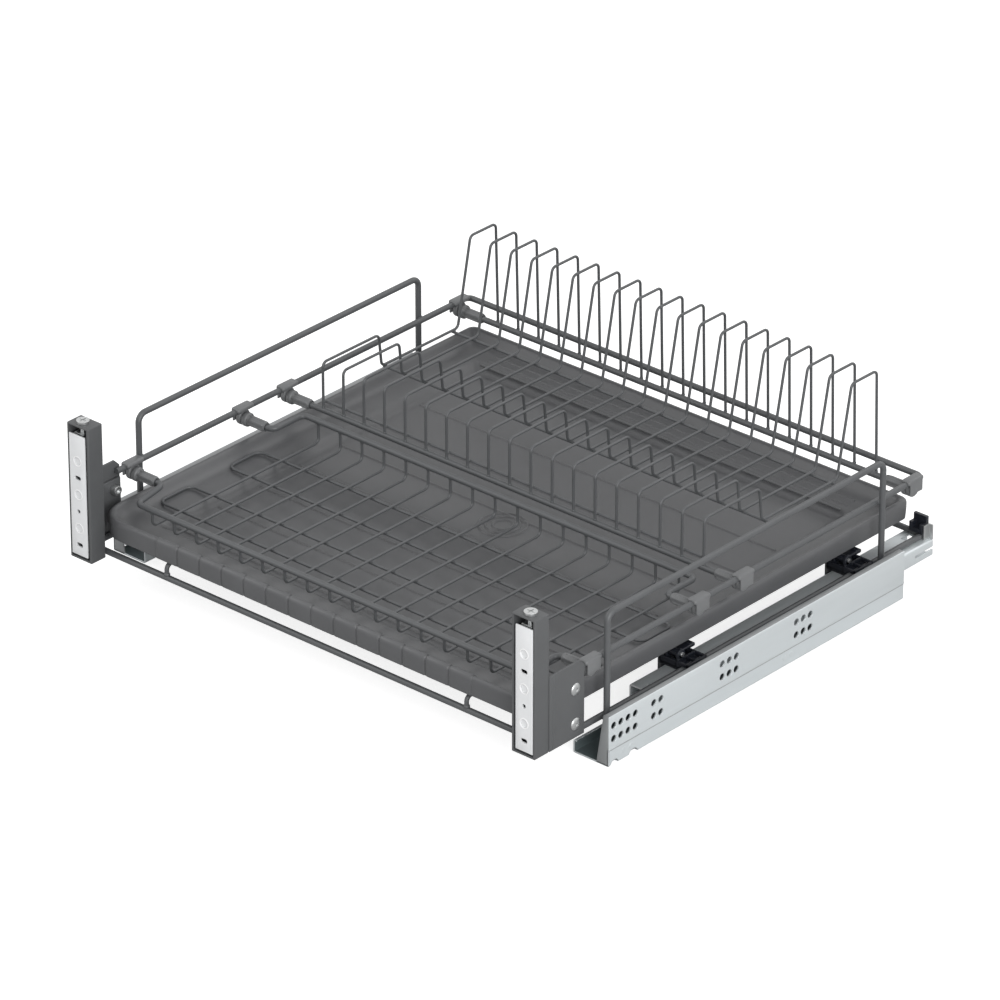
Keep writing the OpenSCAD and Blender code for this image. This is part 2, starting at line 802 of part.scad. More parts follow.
// Hollow between the skirt and the basin's wall
module skirt_hollow() {
    difference() {
        translate([0, 0, tray_skirt_z - cut])
            linear_extrude(tray_rim_z - tray_wall - tray_skirt_z + cut)
                tray_outline(tray_wall);
        basin(rim_width - tray_wall, rim_width + basin_slope, tray_floor_z - 2 * tray_wall, tray_rim_z);
    }
}

// Upright flutes along the front skirt
module tray_flutes() {
    flute_r = (pow(flute_width / 2, 2) + pow(flute_rise, 2)) / (2 * flute_rise);
    for (i = [0 : flute_count - 1]) {
        x = (i - (flute_count - 1) / 2) * cup_pitch;
        intersection() {
            translate([x, tray_front_y - flute_rise / 2 + flute_r, tray_skirt_z])
                cylinder(r = flute_r, h = flute_top_z - tray_skirt_z, $fn = 2 * round_sides);
            block([x - flute_width / 2, tray_front_y - flute_rise, tray_skirt_z],
                [flute_width, flute_rise + tray_wall / 2, flute_top_z - tray_skirt_z]);
        }
    }
}

// Low ridges across the floor and rings round its middle
module tray_ridges() {
    ridge_length = tray_width - 2 * (rim_width + basin_slope + ridge_end_gap);
    first_y = tray_front_y + ridge_front_inset;
    pitch = (tray_rear_y - ridge_rear_inset - first_y) / (ridge_count - 1);
    for (i = [0 : ridge_count - 1])
        block([-ridge_length / 2, first_y + i * pitch, tray_floor_z - ridge_height],
            [ridge_length, ridge_width, 2 * ridge_height]);
    for (r = ring_radii)
        translate([0, drain_ring_y, tray_floor_z - ridge_height])
            rotate_extrude($fn = round_sides)
                translate([r - ring_wall / 2, 0])
                    square([ring_wall, 2 * ridge_height]);
}

// Clip hung over the main rail, with a socket for a rack's rod and an outside latch
module rack_clip(y) {
    half_gap = rod_r + fit_gap;
    difference() {
        union() {
            round_y([frame_x, y - sleeve_length / 2, main_rail_z], sleeve_d, sleeve_length);
            block([frame_x - sleeve_d / 2, y - sleeve_length / 2, latch_z],
                [sleeve_d, sleeve_length, main_rail_z - latch_z]);
            round_x([socket_x, y, socket_z], socket_d, socket_length);
            block([frame_x + sleeve_d / 2 - latch_thickness, y - latch_width / 2, latch_z],
                [latch_thickness, latch_width, latch_height]);
            block([frame_x + sleeve_d / 2 - latch_thickness, y - latch_width / 2, latch_z],
                [latch_thickness + latch_lip, latch_width, latch_lip_thickness]);
        }
        round_y([frame_x, y - sleeve_length / 2 - cut, main_rail_z], 2 * half_gap, sleeve_length + 2 * cut);
        block([frame_x - half_gap, y - latch_width / 2 - cut, latch_z - cut],
            [2 * half_gap, latch_width + 2 * cut, main_rail_z - latch_z + cut]);
        round_x([socket_x - cut, y, socket_z], rod_d + 2 * fit_gap, rod_end_x - socket_x + cut + fit_gap);
    }
}

module rack_clips(side, places) {
    color(plastic_gray) on_side(side)
        for (y = places)
            rack_clip(y);
}

// Cup rack
module cup_rack_front_rod() {
    y = clip_y_places[0];
    color(steel_gray)
        bent_wire([
            [-rod_end_x, y, socket_z],
            [-rack_corner_x, y, socket_z],
            [-rack_corner_x, cup_front_y, cup_front_z],
            [rack_corner_x, cup_front_y, cup_front_z],
            [rack_corner_x, y, socket_z],
            [rod_end_x, y, socket_z]
        ], rod_d, main_rail_bend_r);
}

module cup_rack_rear_rod() {
    y = clip_y_places[1];
    color(steel_gray)
        bent_wire([
            [-rod_end_x, y, socket_z],
            [-rack_corner_x, y, socket_z],
            [-rack_corner_x, cup_rear_y, socket_z],
            [rack_corner_x, cup_rear_y, socket_z],
            [rack_corner_x, y, socket_z],
            [rod_end_x, y, socket_z]
        ], rod_d, main_rail_bend_r);
}

module cup_rack_wires() {
    color(steel_gray) for (i = [0 : cup_wires - 1]) {
        x = (i - (cup_wires - 1) / 2) * cup_pitch;
        bent_wire([
            [x, cup_front_y, cup_front_z - rod_r - touch],
            [x, cup_front_y, cup_floor_z],
            [x, cup_rear_y, cup_floor_z],
            [x, cup_rear_y, socket_z - rod_r - touch]
        ], wire_d, wire_bend_r);
    }
}

module cup_rack_cross_loops() {
    z = cup_floor_z - wire_d - touch;
    color(steel_gray) for (y = loop_places)
        bent_wire([
            [0, y, z],
            [loop_x, y, z],
            [loop_x, y + loop_width, z],
            [-loop_x, y + loop_width, z],
            [-loop_x, y, z],
            [0, y, z]
        ], wire_d, bend_r);
}

// Plate rack
module plate_rack_rod(y) {
    color(steel_gray) bar([-rod_end_x, y, socket_z], [rod_end_x, y, socket_z], rod_d);
}

module plate_rack_wires() {
    foot_y = plate_rear_y + rod_r + wire_r + 2 * touch;
    color(steel_gray) for (i = [0 : plate_wires - 1]) {
        x = (i - (plate_wires - 1) / 2) * plate_wire_pitch;
        bent_wire([
            [x, plate_front_y, socket_z + rod_r + touch],
            [x, plate_front_y, hump_z],
            [x, hump_rear_y, hump_z],
            [x, trough_front_y, plate_floor_z],
            [x, trough_rear_y, plate_floor_z],
            [x, tall_front_y, tall_loop_z],
            [x, tall_rear_y, tall_loop_z],
            [x, foot_y, socket_z - rod_r]
        ], wire_d, wire_bend_r);
    }
}

module plate_rack_cross_wires() {
    half = (plate_wires - 1) / 2 * plate_wire_pitch + cross_overhang;
    under_z = plate_floor_z - wire_d - touch;
    places = [
        [plate_front_y + wire_d + touch, low_cross_z],
        [trough_front_y + wire_bend_r, under_z],
        [trough_rear_y - wire_bend_r, under_z]
    ];
    color(steel_gray) for (place = places)
        bar([-half, place[0], place[1]], [half, place[0], place[1]], wire_d);
}

cabinet_rail(-1);  // cabinet_rail_left
cabinet_rail(1);  // cabinet_rail_right
rear_catch(-1);  // rear_catch_left
rear_catch(1);  // rear_catch_right
lower_roller_cage(-1);  // lower_roller_cage_left
lower_roller_cage(1);  // lower_roller_cage_right
lower_rollers();
middle_rail(-1);  // middle_rail_left
middle_rail(1);  // middle_rail_right
upper_roller_cage(-1);  // upper_roller_cage_left
upper_roller_cage(1);  // upper_roller_cage_right
upper_rollers();
drawer_rail(-1);  // drawer_rail_left
drawer_rail(1);  // drawer_rail_right
rear_cradles();
coupler(-1, coupler_y_places[0]);  // coupler_front_left
coupler(1, coupler_y_places[0]);  // coupler_front_right
coupler(-1, coupler_y_places[1]);  // coupler_rear_left
coupler(1, coupler_y_places[1]);  // coupler_rear_right
coupler_pins();
release_lever(-1, coupler_y_places[0]);  // release_lever_front_left
release_lever(1, coupler_y_places[0]);  // release_lever_front_right
release_lever(-1, coupler_y_places[1]);  // release_lever_rear_left
release_lever(1, coupler_y_places[1]);  // release_lever_rear_right
side_rod(-1);  // side_rod_left
side_rod(1);  // side_rod_right
cross_rod(front_cross_y);  // front_cross_rod
cross_rod(rear_cross_y);  // rear_cross_rod
tray_supports();
guard(-1);  // guard_left
guard(1);  // guard_right
main_rail();
side_plate(-1);  // side_plate_left
side_plate(1);  // side_plate_right
bracket_casing(-1);  // bracket_casing_left
bracket_casing(1);  // bracket_casing_right
bracket_bolts();
front_plate(-1);  // front_plate_left
front_plate(1);  // front_plate_right
plate_nut(-1);  // plate_nut_left
plate_nut(1);  // plate_nut_right
adjuster_screw(-1);  // adjuster_screw_left
adjuster_screw(1);  // adjuster_screw_right
drip_tray();
cup_rack_front_rod();
cup_rack_rear_rod();
cup_rack_wires();
cup_rack_cross_loops();
rack_clips(-1, [clip_y_places[0], clip_y_places[1]]);  // cup_rack_clips_left
rack_clips(1, [clip_y_places[0], clip_y_places[1]]);  // cup_rack_clips_right
plate_rack_rod(plate_front_y);  // plate_rack_front_rod
plate_rack_rod(plate_rear_y);  // plate_rack_rear_rod
plate_rack_wires();
plate_rack_cross_wires();
rack_clips(-1, [clip_y_places[2], clip_y_places[3]]);  // plate_rack_clips_left
rack_clips(1, [clip_y_places[2], clip_y_places[3]]);  // plate_rack_clips_right
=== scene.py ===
# %% [markdown]
# # A pull-out dish rack, dressed for its picture
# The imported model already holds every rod, rail and plate at its true place. This lesson
# keeps those solids, gives each of them a real finish, and puts finer pieces in the place
# of the ones that need more shape: the moulded tray, the clips, the brackets and the runners.
# Lengths are metres. X runs across the cabinet, Y points to its back and Z is up.

import bmesh
import bpy
import json
import math
from mathutils import Matrix, Vector


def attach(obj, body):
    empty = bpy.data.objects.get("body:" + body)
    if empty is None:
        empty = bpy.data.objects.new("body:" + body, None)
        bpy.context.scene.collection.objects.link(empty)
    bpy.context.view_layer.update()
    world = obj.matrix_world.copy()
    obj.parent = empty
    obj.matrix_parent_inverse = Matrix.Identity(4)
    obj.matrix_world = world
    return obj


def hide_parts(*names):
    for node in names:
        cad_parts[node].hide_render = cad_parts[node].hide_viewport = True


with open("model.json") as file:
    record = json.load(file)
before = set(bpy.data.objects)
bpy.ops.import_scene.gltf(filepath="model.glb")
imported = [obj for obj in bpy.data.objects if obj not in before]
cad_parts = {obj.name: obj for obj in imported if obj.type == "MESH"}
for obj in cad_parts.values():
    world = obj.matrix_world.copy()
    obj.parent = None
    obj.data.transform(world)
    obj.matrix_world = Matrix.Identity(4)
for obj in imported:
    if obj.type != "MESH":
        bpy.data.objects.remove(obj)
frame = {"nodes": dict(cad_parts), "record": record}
NODES = frame["nodes"]
bpy.context.view_layer.update()
bpy.ops.object.select_all(action="DESELECT")
print("CAD nodes:", len(NODES))

# %% [markdown]
# ## The camera
# The camera was worked out from the picture: the screw holes of the right-hand rail, the
# corners of the wire guards and the corners of the two front brackets were matched to the
# sizes of the model. It stands some six metres away behind a long lens, so that
# lines which are parallel on the object stay nearly parallel in the picture.

# %% Camera
CAMERA_PLACE = Vector((3.594232, -4.042532, 2.937732))
CAMERA_TURN = math.radians(41.646)
CAMERA_DIP = math.radians(27.893)
SENSOR_WIDTH = 36
LENS = 259.327
NEAREST, FURTHEST = 0.1, 60

looking = Vector((
    -math.sin(CAMERA_TURN) * math.cos(CAMERA_DIP),
    math.cos(CAMERA_TURN) * math.cos(CAMERA_DIP),
    -math.sin(CAMERA_DIP),
))
camera = bpy.data.objects.new("camera", bpy.data.cameras.new("camera"))
bpy.context.collection.objects.link(camera)
camera.data.sensor_width = SENSOR_WIDTH
camera.data.lens = LENS
camera.data.clip_start = NEAREST
camera.data.clip_end = FURTHEST
camera.location = CAMERA_PLACE
camera.rotation_euler = looking.to_track_quat("-Z", "Y").to_euler()
bpy.context.scene.camera = camera
print("camera looks along", tuple(round(part, 3) for part in looking))

# %% [markdown]
# ## The studio
# The picture was taken on white with hardly a shadow. A wide floor carries a faint soft
# shadow. The world is an even pale grey for the light, and plain white where the camera
# or a shiny surface looks straight at it. Three large area lamps, the strongest one on the
# right, give the steel its soft bright and dark sides.

# %% Floor, world and lamps
bpy.context.scene.view_settings.view_transform = "Standard"
LAMPS = [
    ("key lamp", (2.9, -1.5, 1.3), 2.4, 78),
    ("side lamp", (-2.6, -1.6, 2.1), 2.0, 20),
    ("back lamp", (0.4, 2.6, 2.2), 2.0, 14),
]
LAMP_TARGET = Vector((0, 0, 0.08))
WORLD_LIGHT, WORLD_SEEN = 0.64, 1.0
FLOOR_SIZE, FLOOR_DROP = 30, 0.0005
FLOOR_GREY, WHITE = (0.6, 0.6, 0.6, 1), (1, 1, 1, 1)
FLOOR_GLOW = 0.8


def studio_world():
    """Even light all round, seen as white."""
    world = bpy.data.worlds.new("studio")
    bpy.context.scene.world = world
    world.use_nodes = True
    tree = world.node_tree
    tree.nodes.clear()
    path = tree.nodes.new("ShaderNodeLightPath")
    seen = tree.nodes.new("ShaderNodeMath")
    seen.operation = "MAXIMUM"
    tree.links.new(path.outputs["Is Camera Ray"], seen.inputs[0])
    tree.links.new(path.outputs["Is Glossy Ray"], seen.inputs[1])
    level = tree.nodes.new("ShaderNodeMapRange")
    level.inputs["To Min"].default_value = WORLD_LIGHT
    level.inputs["To Max"].default_value = WORLD_SEEN
    tree.links.new(seen.outputs[0], level.inputs["Value"])
    light = tree.nodes.new("ShaderNodeBackground")
    light.inputs["Color"].default_value = WHITE
    tree.links.new(level.outputs["Result"], light.inputs["Strength"])
    out = tree.nodes.new("ShaderNodeOutputWorld")
    tree.links.new(light.outputs[0], out.inputs["Surface"])


def studio_floor():
    """A white floor whose shadow stays faint."""
    bpy.ops.mesh.primitive_plane_add(size=FLOOR_SIZE, location=(0, 0, -FLOOR_DROP))
    floor = bpy.context.object
    floor.name = "floor"
    paint = bpy.data.materials.new("floor_white")
    paint.use_nodes = True
    tree = paint.node_tree
    tree.nodes.clear()
    path = tree.nodes.new("ShaderNodeLightPath")
    matt = tree.nodes.new("ShaderNodeBsdfDiffuse")
    matt.inputs["Color"].default_value = FLOOR_GREY
    glow = tree.nodes.new("ShaderNodeEmission")
    glow.inputs["Color"].default_value = WHITE
    glow.inputs["Strength"].default_value = FLOOR_GLOW
    both = tree.nodes.new("ShaderNodeAddShader")
    tree.links.new(matt.outputs[0], both.inputs[0])
    tree.links.new(glow.outputs[0], both.inputs[1])
    pick = tree.nodes.new("ShaderNodeMixShader")
    tree.links.new(path.outputs["Is Camera Ray"], pick.inputs[0])
    tree.links.new(matt.outputs[0], pick.inputs[1])
    tree.links.new(both.outputs[0], pick.inputs[2])
    out = tree.nodes.new("ShaderNodeOutputMaterial")
    tree.links.new(pick.outputs[0], out.inputs["Surface"])
    floor.data.materials.append(paint)


studio_world()
studio_floor()
for name, place, size, power in LAMPS:
    lamp = bpy.data.lights.new(name, "AREA")
    lamp.shape = "SQUARE"
    lamp.size = size
    lamp.energy = power
    holder = bpy.data.objects.new(name, lamp)
    bpy.context.collection.objects.link(holder)
    holder.location = place
    holder.rotation_euler = (LAMP_TARGET - Vector(place)).to_track_quat("-Z", "Y").to_euler()
print("lamps:", len(LAMPS))

# %% [markdown]
# ## A finish made of nodes
# Every finish on the rack is built the same way, from a few facts a painter or a plater
# would give: its colour, how far the colour drifts from place to place, how shiny it is, how
# coarse its skin is and what shows where an edge is rubbed. The drift is a slow noise in
# object coordinates, the skin is a fine noise used as bump, and the rubbed edges are
# found by rounding the normal with a Bevel node and comparing it with the true one.

# %% The finish helper
DRIFT_SCALE = 28.0
DRIFT_DARK, DRIFT_LIGHT = 0.3, 0.7
BEVEL_SAMPLES = 4
RUB_START, RUB_END, RUB_MOST = 0.97, 0.72, 0.55
GLOSSIER, DULLER = 0.06, 0.08
SKIN_STRENGTH = 0.35


def node(tree, kind, **values):
    """Add one node and set its input values by name."""
    made = tree.nodes.new(kind)
    for name, value in values.items():
        made.inputs[name.replace("_", " ")].default_value = value
    return made


def finish(name, colour, drift, roughness, skin_scale, skin_depth, worn,
           metallic=0.0, edge=0.0006, streak=(1, 1, 1)):
    """One complete finish: drifting colour, uneven gloss, fine skin and rubbed edges."""
    paint = bpy.data.materials.new(name)
    paint.use_nodes = True
    tree = paint.node_tree
    tree.nodes.clear()
    join = tree.links.new
    place = tree.nodes.new("ShaderNodeTexCoord")
    turn = tree.nodes.new("ShaderNodeMapping")
    turn.inputs["Scale"].default_value = streak
    join(place.outputs["Object"], turn.inputs["Vector"])
    slow = node(tree, "ShaderNodeTexNoise", Scale=DRIFT_SCALE, Detail=4.0, Roughness=0.6)
    join(turn.outputs["Vector"], slow.inputs["Vector"])
    fine = node(tree, "ShaderNodeTexNoise", Scale=skin_scale, Detail=3.0, Roughness=0.55)
    join(turn.outputs["Vector"], fine.inputs["Vector"])

    tone = tree.nodes.new("ShaderNodeValToRGB")
    tone.color_ramp.elements[0].position = DRIFT_DARK
    tone.color_ramp.elements[1].position = DRIFT_LIGHT
    tone.color_ramp.elements[0].color = [part * (1 - drift) for part in colour] + [1]
    tone.color_ramp.elements[1].color = [min(1, part * (1 + drift)) for part in colour] + [1]
    join(slow.outputs["Fac"], tone.inputs["Fac"])

    rounded = tree.nodes.new("ShaderNodeBevel")
    rounded.samples = BEVEL_SAMPLES
    rounded.inputs["Radius"].default_value = edge
    true = tree.nodes.new("ShaderNodeNewGeometry")
    match = tree.nodes.new("ShaderNodeVectorMath")
    match.operation = "DOT_PRODUCT"
    join(rounded.outputs["Normal"], match.inputs[0])
    join(true.outputs["Normal"], match.inputs[1])
    rub = tree.nodes.new("ShaderNodeMapRange")
    rub.inputs["From Min"].default_value = RUB_START
    rub.inputs["From Max"].default_value = RUB_END
    rub.inputs["To Max"].default_value = RUB_MOST
    join(match.outputs["Value"], rub.inputs["Value"])
    patchy = tree.nodes.new("ShaderNodeMath")
    patchy.operation = "MULTIPLY"
    join(rub.outputs["Result"], patchy.inputs[0])
    join(slow.outputs["Fac"], patchy.inputs[1])
    worn_mix = tree.nodes.new("ShaderNodeMix")
    worn_mix.data_type = "RGBA"
    worn_mix.inputs["B"].default_value = (*worn, 1)
    join(patchy.outputs["Value"], worn_mix.inputs["Factor"])
    join(tone.outputs["Color"], worn_mix.inputs["A"])

    gloss = tree.nodes.new("ShaderNodeMapRange")
    gloss.inputs["To Min"].default_value = roughness - GLOSSIER
    gloss.inputs["To Max"].default_value = roughness + DULLER
    join(slow.outputs["Fac"], gloss.inputs["Value"])
    bump = tree.nodes.new("ShaderNodeBump")
    bump.inputs["Strength"].default_value = SKIN_STRENGTH
    bump.inputs["Distance"].default_value = skin_depth
    join(fine.outputs["Fac"], bump.inputs["Height"])
    join(rounded.outputs["Normal"], bump.inputs["Normal"])

    skin = tree.nodes.new("ShaderNodeBsdfPrincipled")
    skin.inputs["Metallic"].default_value = metallic
    join(worn_mix.outputs["Result"], skin.inputs["Base Color"])
    join(gloss.outputs["Result"], skin.inputs["Roughness"])
    join(bump.outputs["Normal"], skin.inputs["Normal"])
    out = tree.nodes.new("ShaderNodeOutputMaterial")
    join(skin.outputs["BSDF"], out.inputs["Surface"])
    return paint


# %% [markdown]
# ## The finishes of this rack
# The rods, wires and folded brackets are powder coated in one satin dark grey. The tray is
# a shade softer and glossier because it is moulded plastic, and the clips are a paler
# plastic. The couplers and levers are black plastic, the small parts are nickel-plated,
# and the plates that take the drawer front are white lacquer; their rings are painted
# whiter, as a painted highlight.
# The runners are galvanised sheet with bright outer faces. Their narrow bent-in edges, a thin
# strip along the crease and the faces inside the channel are painted darker, as painted
# shade for the places where little light falls. The sheet's faint grain is noise drawn out along Y.

# %% Finishes
ALONG_THE_RAIL = (1, 0.12, 1)
PAINTS = {
    "painted_wire": dict(colour=(0.09, 0.094, 0.098), drift=0.07, roughness=0.4,
                         skin_scale=900, skin_depth=0.00006, worn=(0.2, 0.205, 0.21)),
    "painted_sheet": dict(colour=(0.088, 0.091, 0.094), drift=0.06, roughness=0.46,
                          skin_scale=1100, skin_depth=0.00008, worn=(0.17, 0.175, 0.18)),
    "tray_plastic": dict(colour=(0.098, 0.1, 0.104), drift=0.05, roughness=0.36,
                         skin_scale=700, skin_depth=0.00005, worn=(0.14, 0.143, 0.146), edge=0.0012),
    "clip_plastic": dict(colour=(0.15, 0.154, 0.158), drift=0.05, roughness=0.36,
                         skin_scale=800, skin_depth=0.00005, worn=(0.24, 0.245, 0.25), edge=0.001),
    "black_plastic": dict(colour=(0.012, 0.014, 0.02), drift=0.1, roughness=0.34,
                          skin_scale=800, skin_depth=0.00005, worn=(0.04, 0.043, 0.05), edge=0.0008),
    "zinc_sheet": dict(colour=(0.66, 0.7, 0.715), drift=0.04, roughness=0.34, metallic=0.45, edge=0.0007,
                       skin_scale=500, skin_depth=0.00004, worn=(0.8, 0.82, 0.83), streak=ALONG_THE_RAIL),
    # Painted shade for the faces inside the runners' channels.
    "zinc_channel_painted_shade": dict(colour=(0.1, 0.125, 0.13), drift=0.08, roughness=0.42, metallic=0.3, edge=0.0006,
                          skin_scale=500, skin_depth=0.00004, worn=(0.6, 0.64, 0.65), streak=ALONG_THE_RAIL),
    # Painted shade for the runners' bent-in edges, and a painted shadow line along the crease.
    "zinc_bend_painted_shade": dict(colour=(0.31, 0.32, 0.325), drift=0.05, roughness=0.4, metallic=0.3, edge=0.0006,
                      skin_scale=500, skin_depth=0.00004, worn=(0.5, 0.52, 0.53)),
    "bright_steel": dict(colour=(0.55, 0.56, 0.56), drift=0.08, roughness=0.3, metallic=0.95, edge=0.0005,
                         skin_scale=600, skin_depth=0.00004, worn=(0.9, 0.9, 0.9)),
    # Painted highlight for the raised rings on the white plates.
    "ring_painted_highlight": dict(colour=(0.95, 0.95, 0.95), drift=0.01, roughness=0.35,
                       skin_scale=1000, skin_depth=0.00003, worn=(0.9, 0.9, 0.9)),
    "white_sheet": dict(colour=(0.79, 0.8, 0.81), drift=0.02, roughness=0.4,
                        skin_scale=1000, skin_depth=0.00004, worn=(0.62, 0.63, 0.64)),
}
FINISHES = {name: finish(name, **facts) for name, facts in PAINTS.items()}
slot_of = {part["node"]: part["material_slot"] for part in frame["record"]["subparts"]}
for name, piece in NODES.items():
    for slot in piece.material_slots:
        slot.material = FINISHES[slot_of[name]]
print("finishes:", len(FINISHES))

# %% [markdown]
# ## Helpers at the bench
# Most new pieces start as a block or a rod of the right size at the right place. Their edges
# are then rounded with a Bevel modifier, pockets are cut with a Boolean, and the parts of
# one piece are joined. Lengths in the steps below are millimetres, as on the drawing, and
# are turned into metres by these helpers. A box is named by its two corners, and a rounded
# edge by its width and its number of steps.

# %% Bench helpers
MM = 0.001
FOLD_ANGLE = 40
FOLD_STEPS = 4
EDGE_ANGLE = 35
BUTTON_SIDES, HOLE_SIDES, PIN_SIDES, ROUND_SIDES, DISC_SIDES = 20, 24, 28, 32, 40
CRISP_EDGE, SMALL_EDGE, SOFT_EDGE = (0.4, 2), (0.5, 2), (0.6, 3)
BROAD_EDGE, ROUND_EDGE, FULL_EDGE = (0.8, 2), (0.8, 3), (1.0, 3)


def only(*pieces):
    """Select these pieces alone, the first one active."""
    bpy.ops.object.select_all(action="DESELECT")
    for piece in pieces:
        piece.select_set(True)
    bpy.context.view_layer.objects.active = pieces[0]


def block(low, high):
    """A block between two corners."""
    bpy.ops.object.select_all(action="DESELECT")
    bpy.ops.mesh.primitive_cube_add(
        size=1,
        location=[(a + b) / 2 * MM for a, b in zip(low, high)],
        scale=[(b - a) * MM for a, b in zip(low, high)],
    )
    bpy.ops.object.transform_apply(location=True, rotation=True, scale=True)
    return bpy.context.object


def rod(start, end, radius, sides=HOLE_SIDES):
    """A round bar between two points."""
    start, end = Vector(start) * MM, Vector(end) * MM
    bpy.ops.object.select_all(action="DESELECT")
    bpy.ops.mesh.primitive_cylinder_add(
        vertices=sides,
        radius=radius * MM,
        depth=(end - start).length,
        location=(start + end) / 2,
        rotation=(end - start).to_track_quat("Z", "Y").to_euler(),
    )
    bpy.ops.object.transform_apply(location=True, rotation=True, scale=True)
    return bpy.context.object


def round_ring(centre, radius, thickness, sides, thickness_sides, rotation=(0, 0, 0)):
    """A round ring that lies flat unless a rotation sets it upright."""
    bpy.ops.object.select_all(action="DESELECT")
    bpy.ops.mesh.primitive_torus_add(
        location=[part * MM for part in centre],
        rotation=rotation,
        major_radius=radius * MM,
        minor_radius=thickness * MM,
        major_segments=sides,
        minor_segments=thickness_sides,
    )
    bpy.ops.object.transform_apply(location=True, rotation=True, scale=True)
    return bpy.context.object


def ball(centre, radius, squash, sides, bands):
    """A ball squashed by a share along each axis."""
    bpy.ops.object.select_all(action="DESELECT")
    bpy.ops.mesh.primitive_uv_sphere_add(
        segments=sides,
        ring_count=bands,
        radius=radius * MM,
        location=[part * MM for part in centre],
        scale=squash,
    )
    bpy.ops.object.transform_apply(location=True, rotation=True, scale=True)
    return bpy.context.object


def turned(piece, degrees, axis, centre=(0, 0, 0)):
    """Turn a piece about an axis through a centre and keep the turn in its mesh."""
    only(piece)
    bpy.ops.transform.rotate(
        value=math.radians(degrees),
        orient_axis=axis,
        center_override=[part * MM for part in centre],
    )
    bpy.ops.object.transform_apply(location=True, rotation=True, scale=True)
    return piece


def apply_modifier(piece, kind, **settings):
    """Add a modifier with its settings and apply it at once."""
    only(piece)
    step = piece.modifiers.new(kind.lower(), kind)
    for name, value in settings.items():
        setattr(step, name, value)
    bpy.ops.object.modifier_apply(modifier=step.name)
    return piece


def soften(piece, width, segments):
    """Round every sharp edge of a piece."""
    return apply_modifier(piece, "BEVEL", width=width * MM, segments=segments,
                          limit_method="ANGLE", angle_limit=math.radians(EDGE_ANGLE))


def carve(piece, *cutters):
    """Cut the cutters' shapes out of a piece."""
    for cutter in cutters:
        apply_modifier(piece, "BOOLEAN", operation="DIFFERENCE", object=cutter, solver="EXACT")
        bpy.data.objects.remove(cutter)
    return piece


def joined(*pieces):
    """Make one piece of several."""
    only(*pieces)
    bpy.ops.object.join()
    return bpy.context.object


def copied(piece, shift=(0, 0, 0), mirror=False):
    """A copy with its own mesh, moved by a shift and mirrored left to right if wanted."""
    twin = piece.copy()
    twin.data = piece.data.copy()
    bpy.context.collection.objects.link(twin)
    twin.data.transform(Matrix.Translation(Vector(shift) * MM))
    if mirror:
        twin.data.transform(Matrix.Scale(-1, 4, (1, 0, 0)))
        twin.data.flip_normals()
    return twin


def folded_strip(section, start, end, wall, bend):
    """Sheet folded along Y.

    The section is the sheet's mid-line as (x, z) points. A plane is halved to one edge, the
    edge is drawn out along the section, and the folds are rounded.
    """
    bpy.ops.object.select_all(action="DESELECT")
    bpy.ops.mesh.primitive_plane_add(size=(end - start) * MM)
    strip = bpy.context.object
    bpy.ops.object.mode_set(mode="EDIT")
    bpy.ops.mesh.select_mode(type="EDGE")
    bpy.ops.mesh.select_all(action="DESELECT")
    sheet = bmesh.from_edit_mesh(strip.data)
    for corner in sheet.verts:
        corner.select = corner.co.x < 0
    sheet.select_flush_mode()
    bmesh.update_edit_mesh(strip.data)
    bpy.ops.mesh.select_mode(type="VERT")
    bpy.ops.mesh.delete(type="VERT")
    bpy.ops.mesh.select_all(action="SELECT")
    middle = Vector((section[0][0], (start + end) / 2, section[0][1])) * MM
    bpy.ops.transform.translate(value=middle - Vector(((end - start) * MM / 2, 0, 0)))
    for (x, z), (next_x, next_z) in zip(section, section[1:]):
        step = Vector((next_x - x, 0, next_z - z)) * MM
        bpy.ops.mesh.extrude_edges_move(TRANSFORM_OT_translate={"value": step})
    sheet = bmesh.from_edit_mesh(strip.data)
    for edge in sheet.edges:
        edge.select = len(edge.link_faces) == 2 and edge.calc_face_angle() > math.radians(FOLD_ANGLE)
    bmesh.update_edit_mesh(strip.data)
    bpy.ops.mesh.select_mode(type="EDGE")
    bpy.ops.mesh.bevel(offset=bend * MM, segments=FOLD_STEPS, affect="EDGES")
    bpy.ops.object.mode_set(mode="OBJECT")
    apply_modifier(strip, "SOLIDIFY", thickness=wall * MM, offset=0)
    bpy.ops.object.mode_set(mode="EDIT")
    bpy.ops.mesh.select_all(action="SELECT")
    bpy.ops.mesh.normals_make_consistent(inside=False)
    bpy.ops.object.mode_set(mode="OBJECT")
    return strip


def dress(piece, name, slot, body, *nodes, angle=EDGE_ANGLE, paint=None):
    """Name a finished piece, paint it, hang it on its body and let it stand for its nodes.

    The paint is the slot's own finish, unless another one is named.
    """
    piece.name = name
    piece.data.name = name
    only(piece)
    bpy.ops.object.shade_smooth_by_angle(angle=math.radians(angle))
    piece.data.materials.clear()
    piece.data.materials.append(FINISHES[paint or slot])
    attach(piece, body)
    if nodes:
        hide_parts(*nodes)
    print(name, len(piece.data.polygons), "faces")
    return piece


def repaint(piece, paint, chosen):
    """Give the faces of a finished piece that pass a test another paint."""
    piece.data.materials.append(FINISHES[paint])
    for face in piece.data.polygons:
        if chosen(face):
            face.material_index = 1


# %% [markdown]
# ## The drip tray
# The tray is one thin moulding. Seen from its edge inwards there is a plain skirt, a thin
# rim, a hollow behind the rim, a broad shelf and a short slope down to the floor. That is
# a profile carried round one outline, so it is made as outline rings. Each ring is a
# rectangle with rounded corners, wide ones in front and small ones at the rear, and it lies
# a little further in than the last one, at its own height. Bridging ring to ring gives the
# skin, and Solidify gives it its wall.

